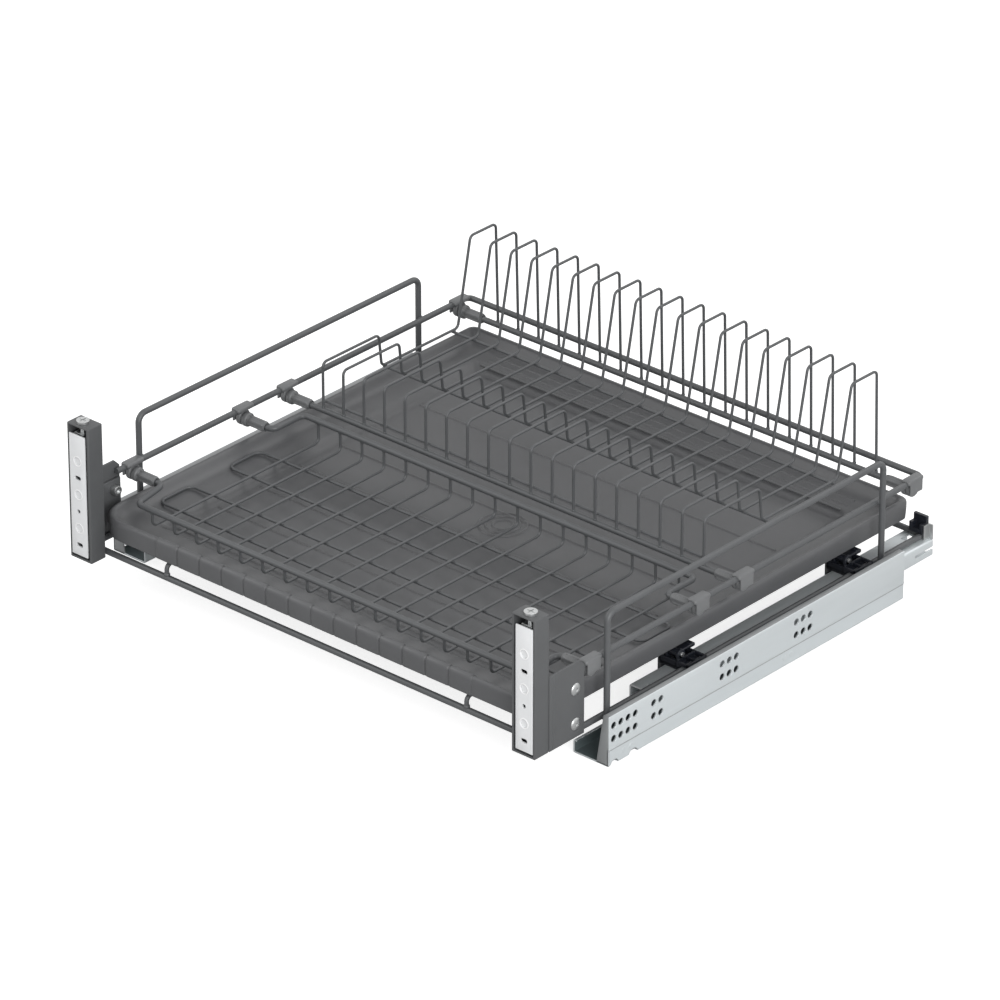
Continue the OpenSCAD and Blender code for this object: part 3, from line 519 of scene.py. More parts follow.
# %% Tray rings
TRAY_HALF = 250.0
TRAY_FRONT = -236.8
TRAY_REAR = 243.95
TRAY_WALL = 2.0
TRAY_PROFILE = [
    (0.6, 50.0), (0.2, 56.0), (0.0, 61.0), (0.0, 64.6), (0.4, 66.4), (1.3, 67.6), (2.6, 68.0),
    (4.0, 67.6), (5.6, 66.2), (7.4, 63.8), (9.6, 61.2), (12.4, 59.0), (15.6, 57.7), (19.0, 57.2),
    (33.0, 56.6), (36.0, 55.4), (40.5, 51.0), (42.5, 49.7), (45.0, 49.2),
]
FRONT_CORNER, FRONT_CORNER_LEAST, FRONT_CORNER_LOSS = 27, 9, 0.6
REAR_CORNER, REAR_CORNER_LEAST, REAR_CORNER_LOSS = 7, 4.5, 0.2
CORNER_SEGMENTS = 8
SAME_PLACE = 1e-6


def corner_reach(rear, inset):
    """How far a corner is cut back, less for the rings further in."""
    if rear:
        return max(REAR_CORNER_LEAST, REAR_CORNER - REAR_CORNER_LOSS * inset)
    return max(FRONT_CORNER_LEAST, FRONT_CORNER - FRONT_CORNER_LOSS * inset)


def outline_ring(inset, height):
    """One rounded rectangle of edges, drawn in from the tray's outline."""
    half = (TRAY_HALF - inset) * MM
    front, back = (TRAY_FRONT + inset) * MM, (TRAY_REAR - inset) * MM
    bpy.ops.object.select_all(action="DESELECT")
    bpy.ops.mesh.primitive_plane_add(size=1, location=(0, (TRAY_FRONT + TRAY_REAR) / 2 * MM, height * MM))
    ring = bpy.context.object
    ring.scale = ((TRAY_HALF - inset) * 2 * MM, (TRAY_REAR - TRAY_FRONT - 2 * inset) * MM, 1)
    bpy.ops.object.transform_apply(location=True, rotation=True, scale=True)
    for rear, end in ((False, front), (True, back)):
        bpy.ops.object.mode_set(mode="EDIT")
        bpy.ops.mesh.select_mode(type="VERT")
        bpy.ops.mesh.select_all(action="DESELECT")
        sheet = bmesh.from_edit_mesh(ring.data)
        for corner in sheet.verts:
            at_side = abs(abs(corner.co.x) - half) < SAME_PLACE
            corner.select = at_side and abs(corner.co.y - end) < SAME_PLACE
        bmesh.update_edit_mesh(ring.data)
        bpy.ops.mesh.bevel(offset=corner_reach(rear, inset) * MM, segments=CORNER_SEGMENTS,
                           profile=0.5, affect="VERTICES")
        bpy.ops.object.mode_set(mode="OBJECT")
    bpy.ops.object.mode_set(mode="EDIT")
    bpy.ops.mesh.select_all(action="SELECT")
    bpy.ops.mesh.delete(type="ONLY_FACE")
    bpy.ops.object.mode_set(mode="OBJECT")
    return ring


def bridged(lower, upper):
    """The band of faces between two outline rings."""
    band = joined(copied(lower), copied(upper))
    bpy.ops.object.mode_set(mode="EDIT")
    bpy.ops.mesh.select_mode(type="EDGE")
    bpy.ops.mesh.select_all(action="SELECT")
    bpy.ops.mesh.bridge_edge_loops()
    bpy.ops.object.mode_set(mode="OBJECT")
    return band


rings = [outline_ring(inset, height) for inset, height in TRAY_PROFILE]
tray = joined(*[bridged(lower, upper) for lower, upper in zip(rings, rings[1:])])
for ring in rings:
    bpy.data.objects.remove(ring)
only(tray)
bpy.ops.object.mode_set(mode="EDIT")
bpy.ops.mesh.select_mode(type="EDGE")
bpy.ops.mesh.select_all(action="SELECT")
bpy.ops.mesh.remove_doubles(threshold=0.01 * MM)
bpy.ops.mesh.select_all(action="DESELECT")
skin = bmesh.from_edit_mesh(tray.data)
lowest_inside = TRAY_PROFILE[-1][1] * MM
for edge in skin.edges:
    edge.select = edge.is_boundary and all(abs(end.co.z - lowest_inside) < SAME_PLACE for end in edge.verts)
bmesh.update_edit_mesh(tray.data)
bpy.ops.mesh.edge_face_add()
bpy.ops.mesh.select_all(action="SELECT")
bpy.ops.mesh.normals_make_consistent(inside=False)
bpy.ops.object.mode_set(mode="OBJECT")
floor_up = max(tray.data.polygons, key=lambda face: face.area).normal.z
if floor_up < 0:
    tray.data.flip_normals()
apply_modifier(tray, "SOLIDIFY", thickness=TRAY_WALL * MM, offset=-1)
print("tray skin:", len(tray.data.polygons), "faces, floor looks up:", floor_up)

# %% [markdown]
# ## The tray's ribs, rings and fluted front
# Thin ribs cross the floor and the rear shelf, three low rings lie in the middle, and the
# front edge is a row of shallow lobes that roll over the rim with a narrow groove between
# them. One lobe is a strip folded along the tray's own profile, and the rest are copies.

# %% Tray details
LOBE_PITCH = 25.6
LOBE_COUNT = 14
LOBE_HALF = 11.9
LOBE_RISE = 0.9
LOBE_POINTS = 12
LOBE_FOLD, LOBE_EDGE = 0.1, (0.75, 3)
RIB_WIDTH, RIB_ROOT, RIB_RISE = 2.4, 1.0, 0.9
FLOOR_RIB_HALF, FLOOR_RIB_Z = 203, 49.3
FLOOR_RIBS = [-186.8 + 51.2 * index for index in range(7)]
SHELF_RIB_HALF = 206
SHELF_RIBS = ((203.5, 56.6), (213, 56.9), (223, 57.2))
MARK_CENTRE = (0, 3, 49.2)
MARK_RADII, MARK_THICKNESS = (9, 15, 21), 1.2
MARK_SIDES, MARK_BANDS = 64, 10


def tray_rib(y, height, half_length):
    """One low rounded rib across the tray."""
    rib = block((-half_length, y, height - RIB_ROOT), (half_length, y + RIB_WIDTH, height + RIB_RISE))
    return soften(rib, *ROUND_EDGE)


def tray_lobe():
    """One lobe of the front edge at X zero: the tray's own profile, a little thicker, with soft ends."""
    section = [(TRAY_FRONT + inset, height) for inset, height in TRAY_PROFILE[:LOBE_POINTS]]
    lobe = folded_strip(section, -LOBE_HALF, LOBE_HALF, 2 * LOBE_RISE, LOBE_FOLD)
    turned(lobe, -90, "Z")
    print("lobe front:", min(corner.co.y for corner in lobe.data.vertices))
    return soften(lobe, *LOBE_EDGE)


ribs = [tray_rib(y, FLOOR_RIB_Z, FLOOR_RIB_HALF) for y in FLOOR_RIBS]
ribs += [tray_rib(y, height, SHELF_RIB_HALF) for y, height in SHELF_RIBS]
mark = [round_ring(MARK_CENTRE, radius, MARK_THICKNESS, MARK_SIDES, MARK_BANDS) for radius in MARK_RADII]
lobe = tray_lobe()
lobes = [copied(lobe, ((index - (LOBE_COUNT - 1) / 2) * LOBE_PITCH, 0, 0)) for index in range(LOBE_COUNT)]
bpy.data.objects.remove(lobe)
tray = joined(tray, *ribs, *mark, *lobes)
dress(tray, "tray_moulding", "tray_plastic", "tray", "drip_tray", angle=50)

# %% [markdown]
# ## The rack clips
# Each rack hangs by four clips on the main rail. A clip is a low rounded saddle over the
# rail with a short tab outside, two discs below it, and a ribbed barrel that takes the end
# of the rack's rod. The outer disc is bored where the rail runs through it. A clip is built
# once for the right-hand side and copied; the left-hand clips are mirrored.

# %% Clips
MAIN_RAIL_X, MAIN_RAIL_Z, MAIN_RAIL_HOLE, MAIN_RAIL_CUT = 258.9, 90.5, 2.85, 20
SOCKET_Z, SOCKET_HOLE, SOCKET_CUT_X, SOCKET_END_X = 82.4, 3.15, 225, 247
SADDLE_IN, SADDLE_OUT, SADDLE_HALF = 5.0, 4.5, 10.2
SADDLE_BELOW, SADDLE_ABOVE, SADDLE_EDGE = 0.8, 4.1, (2.1, 4)
CLIP_DISCS = ((-2.4, 2.0, 1, 7.2), (-8.4, -3.4, 0, 6.4))
NECK_REACH, NECK_RADIUS = 9.5, 4.9
BARREL_X, BARREL_REACH, BARREL_RADIUS = 230.5, 6, 4.3
BARREL_RIBS, BARREL_RIB_X, BARREL_RIB_REACH = 6, 232.5, 7
BARREL_RIB_HALF, BARREL_RIB_ROOT, BARREL_RIB_TOP = 0.9, 3.7, 5.0
TAB_FROM, TAB_TO, TAB_HALF, TAB_FOOT_Z, TAB_RISE = 3.0, 4.6, 8.2, 80.9, 1
CLIP_PLACES = {"cup_rack": (-181.5, -45.0), "plate_rack": (11.5, 235.5)}


def clip_disc(start, end, rise, radius):
    """One disc of a clip. Its two ends are counted along X from the main rail."""
    z = SOCKET_Z + rise
    disc = rod((MAIN_RAIL_X + start, 0, z), (MAIN_RAIL_X + end, 0, z), radius, DISC_SIDES)
    return soften(disc, *FULL_EDGE)


def barrel_ribs():
    """The ribs round a clip's barrel: one rib, turned to each place."""
    ribs = []
    for index in range(BARREL_RIBS):
        low = (BARREL_RIB_X, -BARREL_RIB_HALF, SOCKET_Z + BARREL_RIB_ROOT)
        high = (MAIN_RAIL_X - BARREL_RIB_REACH, BARREL_RIB_HALF, SOCKET_Z + BARREL_RIB_TOP)
        rib = soften(block(low, high), *CRISP_EDGE)
        ribs.append(turned(rib, index * 360 / BARREL_RIBS, "X", (0, 0, SOCKET_Z)))
    return ribs


def clip_shape():
    """One right-hand clip at Y zero."""
    saddle = block((MAIN_RAIL_X - SADDLE_IN, -SADDLE_HALF, MAIN_RAIL_Z - SADDLE_BELOW),
                   (MAIN_RAIL_X + SADDLE_OUT, SADDLE_HALF, MAIN_RAIL_Z + SADDLE_ABOVE))
    soften(saddle, *SADDLE_EDGE)
    discs = [clip_disc(*facts) for facts in CLIP_DISCS]
    neck = rod((MAIN_RAIL_X - NECK_REACH, 0, SOCKET_Z), (MAIN_RAIL_X, 0, SOCKET_Z), NECK_RADIUS, ROUND_SIDES)
    barrel_end = (MAIN_RAIL_X - BARREL_REACH, 0, SOCKET_Z)
    barrel = soften(rod((BARREL_X, 0, SOCKET_Z), barrel_end, BARREL_RADIUS, ROUND_SIDES), *CRISP_EDGE)
    ribs = barrel_ribs()
    tab = soften(block((MAIN_RAIL_X + TAB_FROM, -TAB_HALF, TAB_FOOT_Z),
                       (MAIN_RAIL_X + TAB_TO, TAB_HALF, MAIN_RAIL_Z + TAB_RISE)), *SOFT_EDGE)
    rail_run = [(MAIN_RAIL_X, y, MAIN_RAIL_Z) for y in (-MAIN_RAIL_CUT, MAIN_RAIL_CUT)]
    for part in (saddle, discs[0]):
        carve(part, rod(*rail_run, MAIN_RAIL_HOLE, ROUND_SIDES))
    carve(barrel, rod((SOCKET_CUT_X, 0, SOCKET_Z), (SOCKET_END_X, 0, SOCKET_Z), SOCKET_HOLE, ROUND_SIDES))
    return joined(saddle, *discs, neck, barrel, *ribs, tab)


clip = clip_shape()
for rack, places in CLIP_PLACES.items():
    for side in ("left", "right"):
        pair = joined(*[copied(clip, (0, y, 0), mirror=side == "left") for y in places])
        dress(pair, rack + "_clip_bodies_" + side, "clip_plastic", rack, rack + "_clips_" + side)
bpy.data.objects.remove(clip)

# %% [markdown]
# ## The cabinet rails
# A runner's outer rail is one strip of galvanised sheet, folded lengthwise: a side
# wall with its screw holes, a crease, and below it a channel with a curled lip
# in which the rollers run. A folded strip is its cross-section drawn out along the
# cabinet, so the section is laid out as a line of points and stretched along Y. The fold
# lines are bevelled into true bends before Solidify gives the sheet its thickness.
# The rail is made as three pieces, because its outer face keeps the bright zinc, while the
# inside of its channel and its bent-in edges with a thin strip along the crease carry painted shade.

# %% Cabinet rails
RAIL_OUTER = 282.0
SHEET = 1.5
RAIL_TOP = 46.5
CREASE_Z, CREASE_STEP, CREASE_BEND = 15.5, 0.6, 0.4
CREASE_OVERLAP, CREASE_START, CREASE_END = 1.2, 0.2, 0.9
LOW_X, FLOOR_Z = RAIL_OUTER - SHEET / 2 - CREASE_STEP, SHEET / 2
CHANNEL_X, LIP_X, LIP_Z, LIP_MIDDLE, CHANNEL_BEND = 244.25, 247.5, 11.55, 6.0, 1.1
CABINET_EDGE = -188.7
WALL_START, WALL_END = -184.4, 198.1
HOLE_COLUMNS = (10, 19, 28, 37, 60, 69, 147, 156, 165, 243, 252, 261)
HOLE_ROWS = (24.8, 37.0)
HOLE_RADIUS = 3.2
BUTTON_PLACES, BUTTON_Z, BUTTON_RADIUS = (-165, -156, 40, 49), 8.6, 2.2
BUTTON_ROOT, BUTTON_INSET = 1.6, 0.4
EDGE_BITES = ((-176.5, -0.6, 5.0), (-153.0, -1.6, 6.2))
BITE_INWARDS, HOLE_INWARDS, CUT_OUTWARDS = 5, 4, 3
FRONT_STRIP, FRONT_LEAN = 6.5, 7.5
TOP_EDGE, TOP_EDGE_INSET, TOP_EDGE_DEPTH, TOP_EDGE_GAP = 6.2, 0.4, 1.4, 0.2
REAR_EDGE, REAR_EDGE_INSET, REAR_EDGE_GAP = 4.2, 0.3, 0.6
CREASE_SHADOW_IN, CREASE_SHADOW_OUT, CREASE_SHADOW_GAP = 1.4, 0.25, 1
CREASE_SHADOW_FOOT, CREASE_SHADOW_TOP = 1.0, 0.1
FACING = 0.5


def slanted(low, high, lean):
    """A block whose lower inner edge reaches further inwards than its upper one."""
    piece = block(low, high)
    middle_x, middle_z = (low[0] + high[0]) / 2 * MM, (low[2] + high[2]) / 2 * MM
    bpy.ops.object.mode_set(mode="EDIT")
    bpy.ops.mesh.select_mode(type="VERT")
    bpy.ops.mesh.select_all(action="DESELECT")
    shape = bmesh.from_edit_mesh(piece.data)
    for corner in shape.verts:
        corner.select = corner.co.x < middle_x and corner.co.z < middle_z
    bmesh.update_edit_mesh(piece.data)
    bpy.ops.transform.translate(value=(-lean * MM, 0, 0))
    bpy.ops.object.mode_set(mode="OBJECT")
    return piece


def across_wall(y, z, radius, sides, inwards, outwards):
    """A rod along X at the rail's side wall. Its two ends are counted from the wall's outer face."""
    return rod((RAIL_OUTER - inwards, y, z), (RAIL_OUTER + outwards, y, z), radius, sides)


def bite_cutters():
    """The rods that bite into the rail's lower edge near its front end."""
    return joined(*[across_wall(y, z, radius, ROUND_SIDES, BITE_INWARDS, CUT_OUTWARDS)
                    for y, z, radius in EDGE_BITES])


def cabinet_rail_face():
    """The right-hand cabinet rail's side wall, and below the crease its lower wall with four buttons."""
    wall_x = RAIL_OUTER - SHEET / 2
    wall = block((wall_x - SHEET / 2, WALL_START, CREASE_Z), (RAIL_OUTER, WALL_END, RAIL_TOP))
    soften(wall, *SOFT_EDGE)
    section = [(wall_x, CREASE_Z + CREASE_OVERLAP), (wall_x, CREASE_Z + CREASE_START),
               (LOW_X, CREASE_Z - CREASE_END), (LOW_X, FLOOR_Z)]
    crease = folded_strip(section, WALL_START, WALL_END, SHEET, CREASE_BEND)
    buttons = [across_wall(y, BUTTON_Z, BUTTON_RADIUS, BUTTON_SIDES, BUTTON_ROOT, -BUTTON_INSET)
               for y in BUTTON_PLACES]
    holes = [across_wall(CABINET_EDGE + column, row, HOLE_RADIUS, HOLE_SIDES, HOLE_INWARDS, CUT_OUTWARDS)
             for column in HOLE_COLUMNS for row in HOLE_ROWS]
    carve(wall, joined(*holes))
    carve(crease, bite_cutters())
    return joined(wall, crease, *buttons)


def cabinet_rail_channel():
    """The right-hand cabinet rail's channel with its curled lip."""
    section = [(LIP_X, LIP_Z), (CHANNEL_X, LIP_Z), (CHANNEL_X, FLOOR_Z), (LOW_X, FLOOR_Z)]
    return carve(folded_strip(section, WALL_START, WALL_END, SHEET, CHANNEL_BEND), bite_cutters())


def cabinet_rail_bends():
    """The right-hand cabinet rail's front strip, its bent-in top and rear edges and a thin strip along its
    crease, all painted darker as painted shade; the crease strip is a painted shadow line.
    """
    front = slanted((RAIL_OUTER - FRONT_STRIP, WALL_START, 0),
                    (RAIL_OUTER - CREASE_STEP, WALL_START + SHEET, RAIL_TOP), FRONT_LEAN)
    top = block((RAIL_OUTER - TOP_EDGE, WALL_START + TOP_EDGE_GAP, RAIL_TOP - TOP_EDGE_DEPTH),
                (RAIL_OUTER - TOP_EDGE_INSET, WALL_END - TOP_EDGE_GAP, RAIL_TOP))
    rear = block((RAIL_OUTER - REAR_EDGE, WALL_END - SHEET, CREASE_Z),
                 (RAIL_OUTER - REAR_EDGE_INSET, WALL_END, RAIL_TOP - REAR_EDGE_GAP))
    for edge in (front, top, rear):
        soften(edge, *SMALL_EDGE)
    # A thin dark strip along the crease: a painted shadow line.
    crease_shadow_strip = block(
        (RAIL_OUTER - CREASE_SHADOW_IN, WALL_START + CREASE_SHADOW_GAP, CREASE_Z - CREASE_SHADOW_FOOT),
        (RAIL_OUTER - CREASE_SHADOW_OUT, WALL_END - CREASE_SHADOW_GAP, CREASE_Z - CREASE_SHADOW_TOP),
    )
    return joined(front, top, rear, crease_shadow_strip)


def inside_channel(outwards):
    """A test for the channel's inner faces on one side of the rack, which get painted shade."""
    def test(face):
        inwards = face.normal.z if face.center.z < LIP_MIDDLE * MM else -face.normal.z
        return max(inwards, face.normal.x * outwards) > FACING
    return test


# The bends piece is painted darker all over: painted shade on the bent-in edges and a painted shadow line
# along the crease.
rail_forms = {"sheet": cabinet_rail_face(), "channel": cabinet_rail_channel(), "bends": cabinet_rail_bends()}
for name, rail in rail_forms.items():
    for side, outwards in (("right", 1), ("left", -1)):
        piece = dress(copied(rail, mirror=side == "left"), "cabinet_rail_" + name + "_" + side, "zinc_sheet",
                      "cabinet_rails", angle=28, paint="zinc_bend_painted_shade" if name == "bends" else None)
        if name == "sheet":
            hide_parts("cabinet_rail_" + side)
        # The channel's inner faces get painted shade.
        if name == "channel":
            repaint(piece, "zinc_channel_painted_shade", inside_channel(outwards))
    bpy.data.objects.remove(rail)

# %% [markdown]
# ## The drawer rails
# The rail that carries the frame is a box of the same sheet, open below, with two lips
# that reach under the middle rail. It is another folded strip, with two slots stamped
# through its top and a long one through its outer side at the rear. The cut edge at the
# front end is bare metal, and its faces are painted white as a painted highlight for the
# glint on that edge.

# %% Drawer rails
DRAWER_RAIL_X, DRAWER_HALF = 252.75, 14.0
DRAWER_START, DRAWER_END = -108.0, 255.0
DRAWER_FOOT_Z, DRAWER_TOP_Z, DRAWER_LIP, DRAWER_BEND = 14.75, 29.25, 9.2, 1.2
DRAWER_SLOTS = (
    ((250.0, DRAWER_START + 8, 26), (258.0, DRAWER_START + 11, 33)),
    ((246.4, DRAWER_END - 17.7, 26), (252.6, DRAWER_END - 6.1, 33)),
    ((265.0, DRAWER_END - 24, 20.5), (270.0, DRAWER_END + 2, 23.0)),
)
SQUARE_ON, FRONT_BAND = 0.9, 1


def drawer_rail():
    """The right-hand drawer rail."""
    left, right = DRAWER_RAIL_X - DRAWER_HALF, DRAWER_RAIL_X + DRAWER_HALF
    section = [(left + DRAWER_LIP, DRAWER_FOOT_Z), (left, DRAWER_FOOT_Z), (left, DRAWER_TOP_Z),
               (right, DRAWER_TOP_Z), (right, DRAWER_FOOT_Z), (right - DRAWER_LIP, DRAWER_FOOT_Z)]
    strip = folded_strip(section, DRAWER_START, DRAWER_END, SHEET, DRAWER_BEND)
    return carve(strip, *[block(low, high) for low, high in DRAWER_SLOTS])


def front_edge_painted_highlight(face):
    """Whether a face is part of the drawer rail's cut front end, whose white paint is a painted highlight.
    """
    return face.normal.y < -SQUARE_ON and face.center.y < (DRAWER_START + FRONT_BAND) * MM


rail = drawer_rail()
for side in ("right", "left"):
    piece = dress(copied(rail, mirror=side == "left"), "drawer_rail_sheet_" + side, "zinc_sheet", "drawer",
                  "drawer_rail_" + side, angle=28)
    # The cut front edge is painted white: a painted highlight.
    repaint(piece, "white_sheet", front_edge_painted_highlight)
bpy.data.objects.remove(rail)

# %% [markdown]
# ## The couplers and their levers
# Four black couplers sit over the drawer rails and hold the wire frame's side rods. Each is
# an injection moulding, so it is a low tray of thin walls stiffened by crossed ribs,
# with two round ears for the pin of its release lever. A skirt hangs down beside the rail
# and hooks under it. It looks dark grey rather than black, so it gets the sheet's paint.

# %% Couplers and levers
COUPLER_PLACES = {"front": -65.0, "rear": 153.0}
COUPLER_IN, COUPLER_OUT, COUPLER_LENGTH = 233.0, 264.0, 25
COUPLER_FOOT_Z, COUPLER_FLOOR_Z, WALL_FOOT_Z, WALL_TOP_Z = 30.05, 34.0, 32, 38.5
COUPLER_WALLS = (
    ((COUPLER_IN, 0, WALL_FOOT_Z), (COUPLER_OUT, 1.8, WALL_TOP_Z)),
    ((COUPLER_IN, 23.2, WALL_FOOT_Z), (COUPLER_OUT, COUPLER_LENGTH, WALL_TOP_Z)),
    ((COUPLER_IN, 0, WALL_FOOT_Z), (234.8, COUPLER_LENGTH, WALL_TOP_Z)),
    ((250.6, 0, WALL_FOOT_Z), (252.2, COUPLER_LENGTH, WALL_TOP_Z)),
    ((262.2, 0, 36), (COUPLER_OUT, COUPLER_LENGTH, WALL_TOP_Z)),
    ((252.0, 11.7, WALL_FOOT_Z), (COUPLER_OUT, 13.3, 38.2)),
)
SIDE_ROD_ROOM = ((256.1, -2, 28), (270, 27, 35.6))
BRACE_RADIUS, BRACE_SIDES, BRACE_Z, CREST_Z, CREST_SHARE = 1.0, 8, 34, 37.4, 0.16
BRACE_START, BRACE_END, CREST_END = 234, 251, 236.6
BRACE_RUNS = ((1, 24), (24, 1))
PIN_Y, PIN_Z, PIN_HOLE = 6.5, 42.15, 2.05
EAR_PLACES, EAR_WIDTH, EAR_RADIUS, EAR_FOOT_Z = (237.0, 249.0), 3, 4.4, 31
EAR_BORE, LEVER_BORE = (230, 256), (236, 252)
SKIRT_EDGE, HOOK_EDGE, PAD_EDGE, GRIP_EDGE = (0.7, 2), (0.6, 2), (0.9, 3), (0.3, 2)
SKIRT = ((231.0, 0.3, 17.0), (233.2, 24.7, 36.5))
SKIRT_HOOK = ((229.9, 7.5, 16.6), (232.5, 17.5, 19.4))
LEVER_IN, LEVER_OUT, LEVER_END, LEVER_HALF, HUB_RADIUS = 240.3, 248.7, 27.2, 1.2, 3.3
LEVER_PAD = ((239.9, 20.5, PIN_Z - 1.6), (249.1, 27.5, PIN_Z + 1.7))
GRIP_IN, GRIP_OUT, GRIP_WIDTH, GRIP_ROOT, GRIP_TOP = 240.6, 248.4, 0.8, 1.4, 2.3
GRIP_PLACES = (21.8, 23.6, 25.4)


def on_pin(ends, radius, sides):
    """A rod along X on the pin's axis between two X places."""
    return rod((ends[0], PIN_Y, PIN_Z), (ends[1], PIN_Y, PIN_Z), radius, sides)


def coupler_ears():
    """Two round ears on feet, bored for the pin."""
    ears = []
    for x in EAR_PLACES:
        ear = on_pin((x, x + EAR_WIDTH), EAR_RADIUS, PIN_SIDES)
        foot = block((x, PIN_Y - EAR_RADIUS, EAR_FOOT_Z), (x + EAR_WIDTH, PIN_Y + EAR_RADIUS, PIN_Z))
        ears += [soften(ear, *SMALL_EDGE), soften(foot, *CRISP_EDGE)]
    for part in ears:
        carve(part, on_pin(EAR_BORE, PIN_HOLE, HOLE_SIDES))
    return ears


def coupler_shape():
    """One right-hand coupler that starts at Y zero, and its skirt."""
    base = block((COUPLER_IN, 0, COUPLER_FOOT_Z), (COUPLER_OUT, COUPLER_LENGTH, COUPLER_FLOOR_Z))
    soften(base, *BROAD_EDGE)
    walls = [soften(block(low, high), *CRISP_EDGE) for low, high in COUPLER_WALLS]
    for part in (base, *walls):
        carve(part, block(*SIDE_ROD_ROOM))
    ribs = []
    for start, end in BRACE_RUNS:
        crest_y = start + (end - start) * CREST_SHARE
        for x, y, z in ((BRACE_END, end, BRACE_Z), (CREST_END, crest_y, CREST_Z)):
            ribs.append(rod((BRACE_START, start, z), (x, y, z), BRACE_RADIUS, BRACE_SIDES))
    skirt = soften(block(*SKIRT), *SKIRT_EDGE)
    hook = soften(block(*SKIRT_HOOK), *HOOK_EDGE)
    return joined(base, *walls, *ribs, *coupler_ears()), joined(skirt, hook)


def lever_shape():
    """One right-hand release lever on its pin, for a coupler that starts at Y zero."""
    hub = soften(on_pin((LEVER_IN, LEVER_OUT), HUB_RADIUS, PIN_SIDES), *SMALL_EDGE)
    tongue = soften(block((LEVER_IN, PIN_Y, PIN_Z - LEVER_HALF), (LEVER_OUT, LEVER_END, PIN_Z + LEVER_HALF)),
                    *FULL_EDGE)
    pad = soften(block(*LEVER_PAD), *PAD_EDGE)
    grips = []
    for y in GRIP_PLACES:
        grip = block((GRIP_IN, y, PIN_Z + GRIP_ROOT), (GRIP_OUT, y + GRIP_WIDTH, PIN_Z + GRIP_TOP))
        grips.append(soften(grip, *GRIP_EDGE))
    for part in (hub, tongue):
        carve(part, on_pin(LEVER_BORE, PIN_HOLE, HOLE_SIDES))
    return joined(hub, tongue, pad, *grips)


coupler, skirt = coupler_shape()
lever = lever_shape()
for place, y in COUPLER_PLACES.items():
    for side in ("left", "right"):
        spot = "_%s_%s" % (place, side)
        dress(copied(coupler, (0, y, 0), side == "left"), "coupler_body" + spot, "black_plastic", "drawer",
              "coupler" + spot)
        dress(copied(skirt, (0, y, 0), side == "left"), "coupler_skirt" + spot, "black_plastic", "drawer",
              paint="painted_sheet")
        dress(copied(lever, (0, y, 0), side == "left"), "lever_body" + spot, "painted_sheet", "lever" + spot,
              "release_lever" + spot, paint="black_plastic")
for spare in (coupler, skirt, lever):
    bpy.data.objects.remove(spare)

# %% [markdown]
# ## The front brackets
# A bracket is an upright die-cast channel, open to the front, in which a white plate for the
# drawer front slides up and down. An arm reaches back from it, and a side plate is
# bolted on outside. The cavity is cut from a softened block, so that its rim keeps a
# crisp inner edge and a rounded outer one, as a casting does.

# %% Brackets
CASING = ((238.0, -254.5, 29.2), (263.0, -237.2, 157.6))
CASING_CAVITY = ((240.2, -258, 31.2), (261.2, -240.2, 156.2))
CASING_HEM = ((260.9, -238.6, 30.2), (262.9, -236.9, 150.0))
CASING_ARM = ((258.72, -239.2, 38.0), (261.6, -196.2, 84.0))
CASING_WEB = ((250.5, -239.0, 38.0), (261.0, -235.6, 84.0))
CASING_EDGE = (0.9, 3)
ADJUSTER_X, ADJUSTER_Y, ADJUSTER_HOLE, ADJUSTER_CUT = 251.5, -246.5, 2.55, (150, 160)
BOLT_Y, BOLT_ROWS, BOLT_BORE = -205.35, (43.0, 75.2), 3.05
SIDE_PLATE = ((261.7, -237.15, 29.8), (263.7, -194.15, 99.8))
SIDE_PLATE_SEAM = ((263.1, -233.4, 30.4), (264.1, -231.8, 99.2))
CHAMFER_BLOCK = ((255, -7, -7), (270, 7, 7))
CHAMFER_PLACE = Vector((0, -192.25, 101.7))
PLATE_X = 263.7
DOME_RADIUS, DOME_FLATNESS, DOME_START = 5.6, 0.34, 263.75
DOME_SIDES, DOME_BANDS, DOME_CUT = 28, 16, 9
HEX_START, HEX_RADIUS, HEX_SIDES = 264.6, 1.9, 6
BORE_START, BORE_END = 250, 270
SHANK_IN, SHANK_OUT, SHANK_RADIUS = 254.7, 264.5, 3.0
NUT_IN, NUT_OUT, NUT_RADIUS = 252.65, 258.65, 4.4
NUT_HOLE_END, NUT_HOLE = 255.0, 2.3


def through_side(row, radius, start=BORE_START, end=BORE_END, sides=HOLE_SIDES):
    """A rod along X on a bolt's axis."""
    return rod((start, BOLT_Y, row), (end, BOLT_Y, row), radius, sides)


def bolt_bores():
    """The holes for the two bolts, as one cutter."""
    return joined(*[through_side(row, BOLT_BORE) for row in BOLT_ROWS])


def casing_shape():
    """The right-hand casing with its arm."""
    shell = soften(block(*CASING), *CASING_EDGE)
    hem = soften(block(*CASING_HEM), *CRISP_EDGE)
    arm = soften(block(*CASING_ARM), *ROUND_EDGE)
    web = soften(block(*CASING_WEB), *BROAD_EDGE)
    adjuster_hole = rod(*[(ADJUSTER_X, ADJUSTER_Y, z) for z in ADJUSTER_CUT], ADJUSTER_HOLE)
    carve(shell, block(*CASING_CAVITY), adjuster_hole)
    carve(arm, bolt_bores())
    return joined(shell, hem, arm, web)


def side_plate_shape():
    """The right-hand side plate: chamfered corner, rounded rim, folded front seam."""
    corner = turned(block(*CHAMFER_BLOCK), 45, "X")
    corner.data.transform(Matrix.Translation(CHAMFER_PLACE * MM))
    plate = soften(carve(block(*SIDE_PLATE), corner), *SOFT_EDGE)
    seam = soften(block(*SIDE_PLATE_SEAM), *CRISP_EDGE)
    return joined(carve(plate, bolt_bores()), seam)


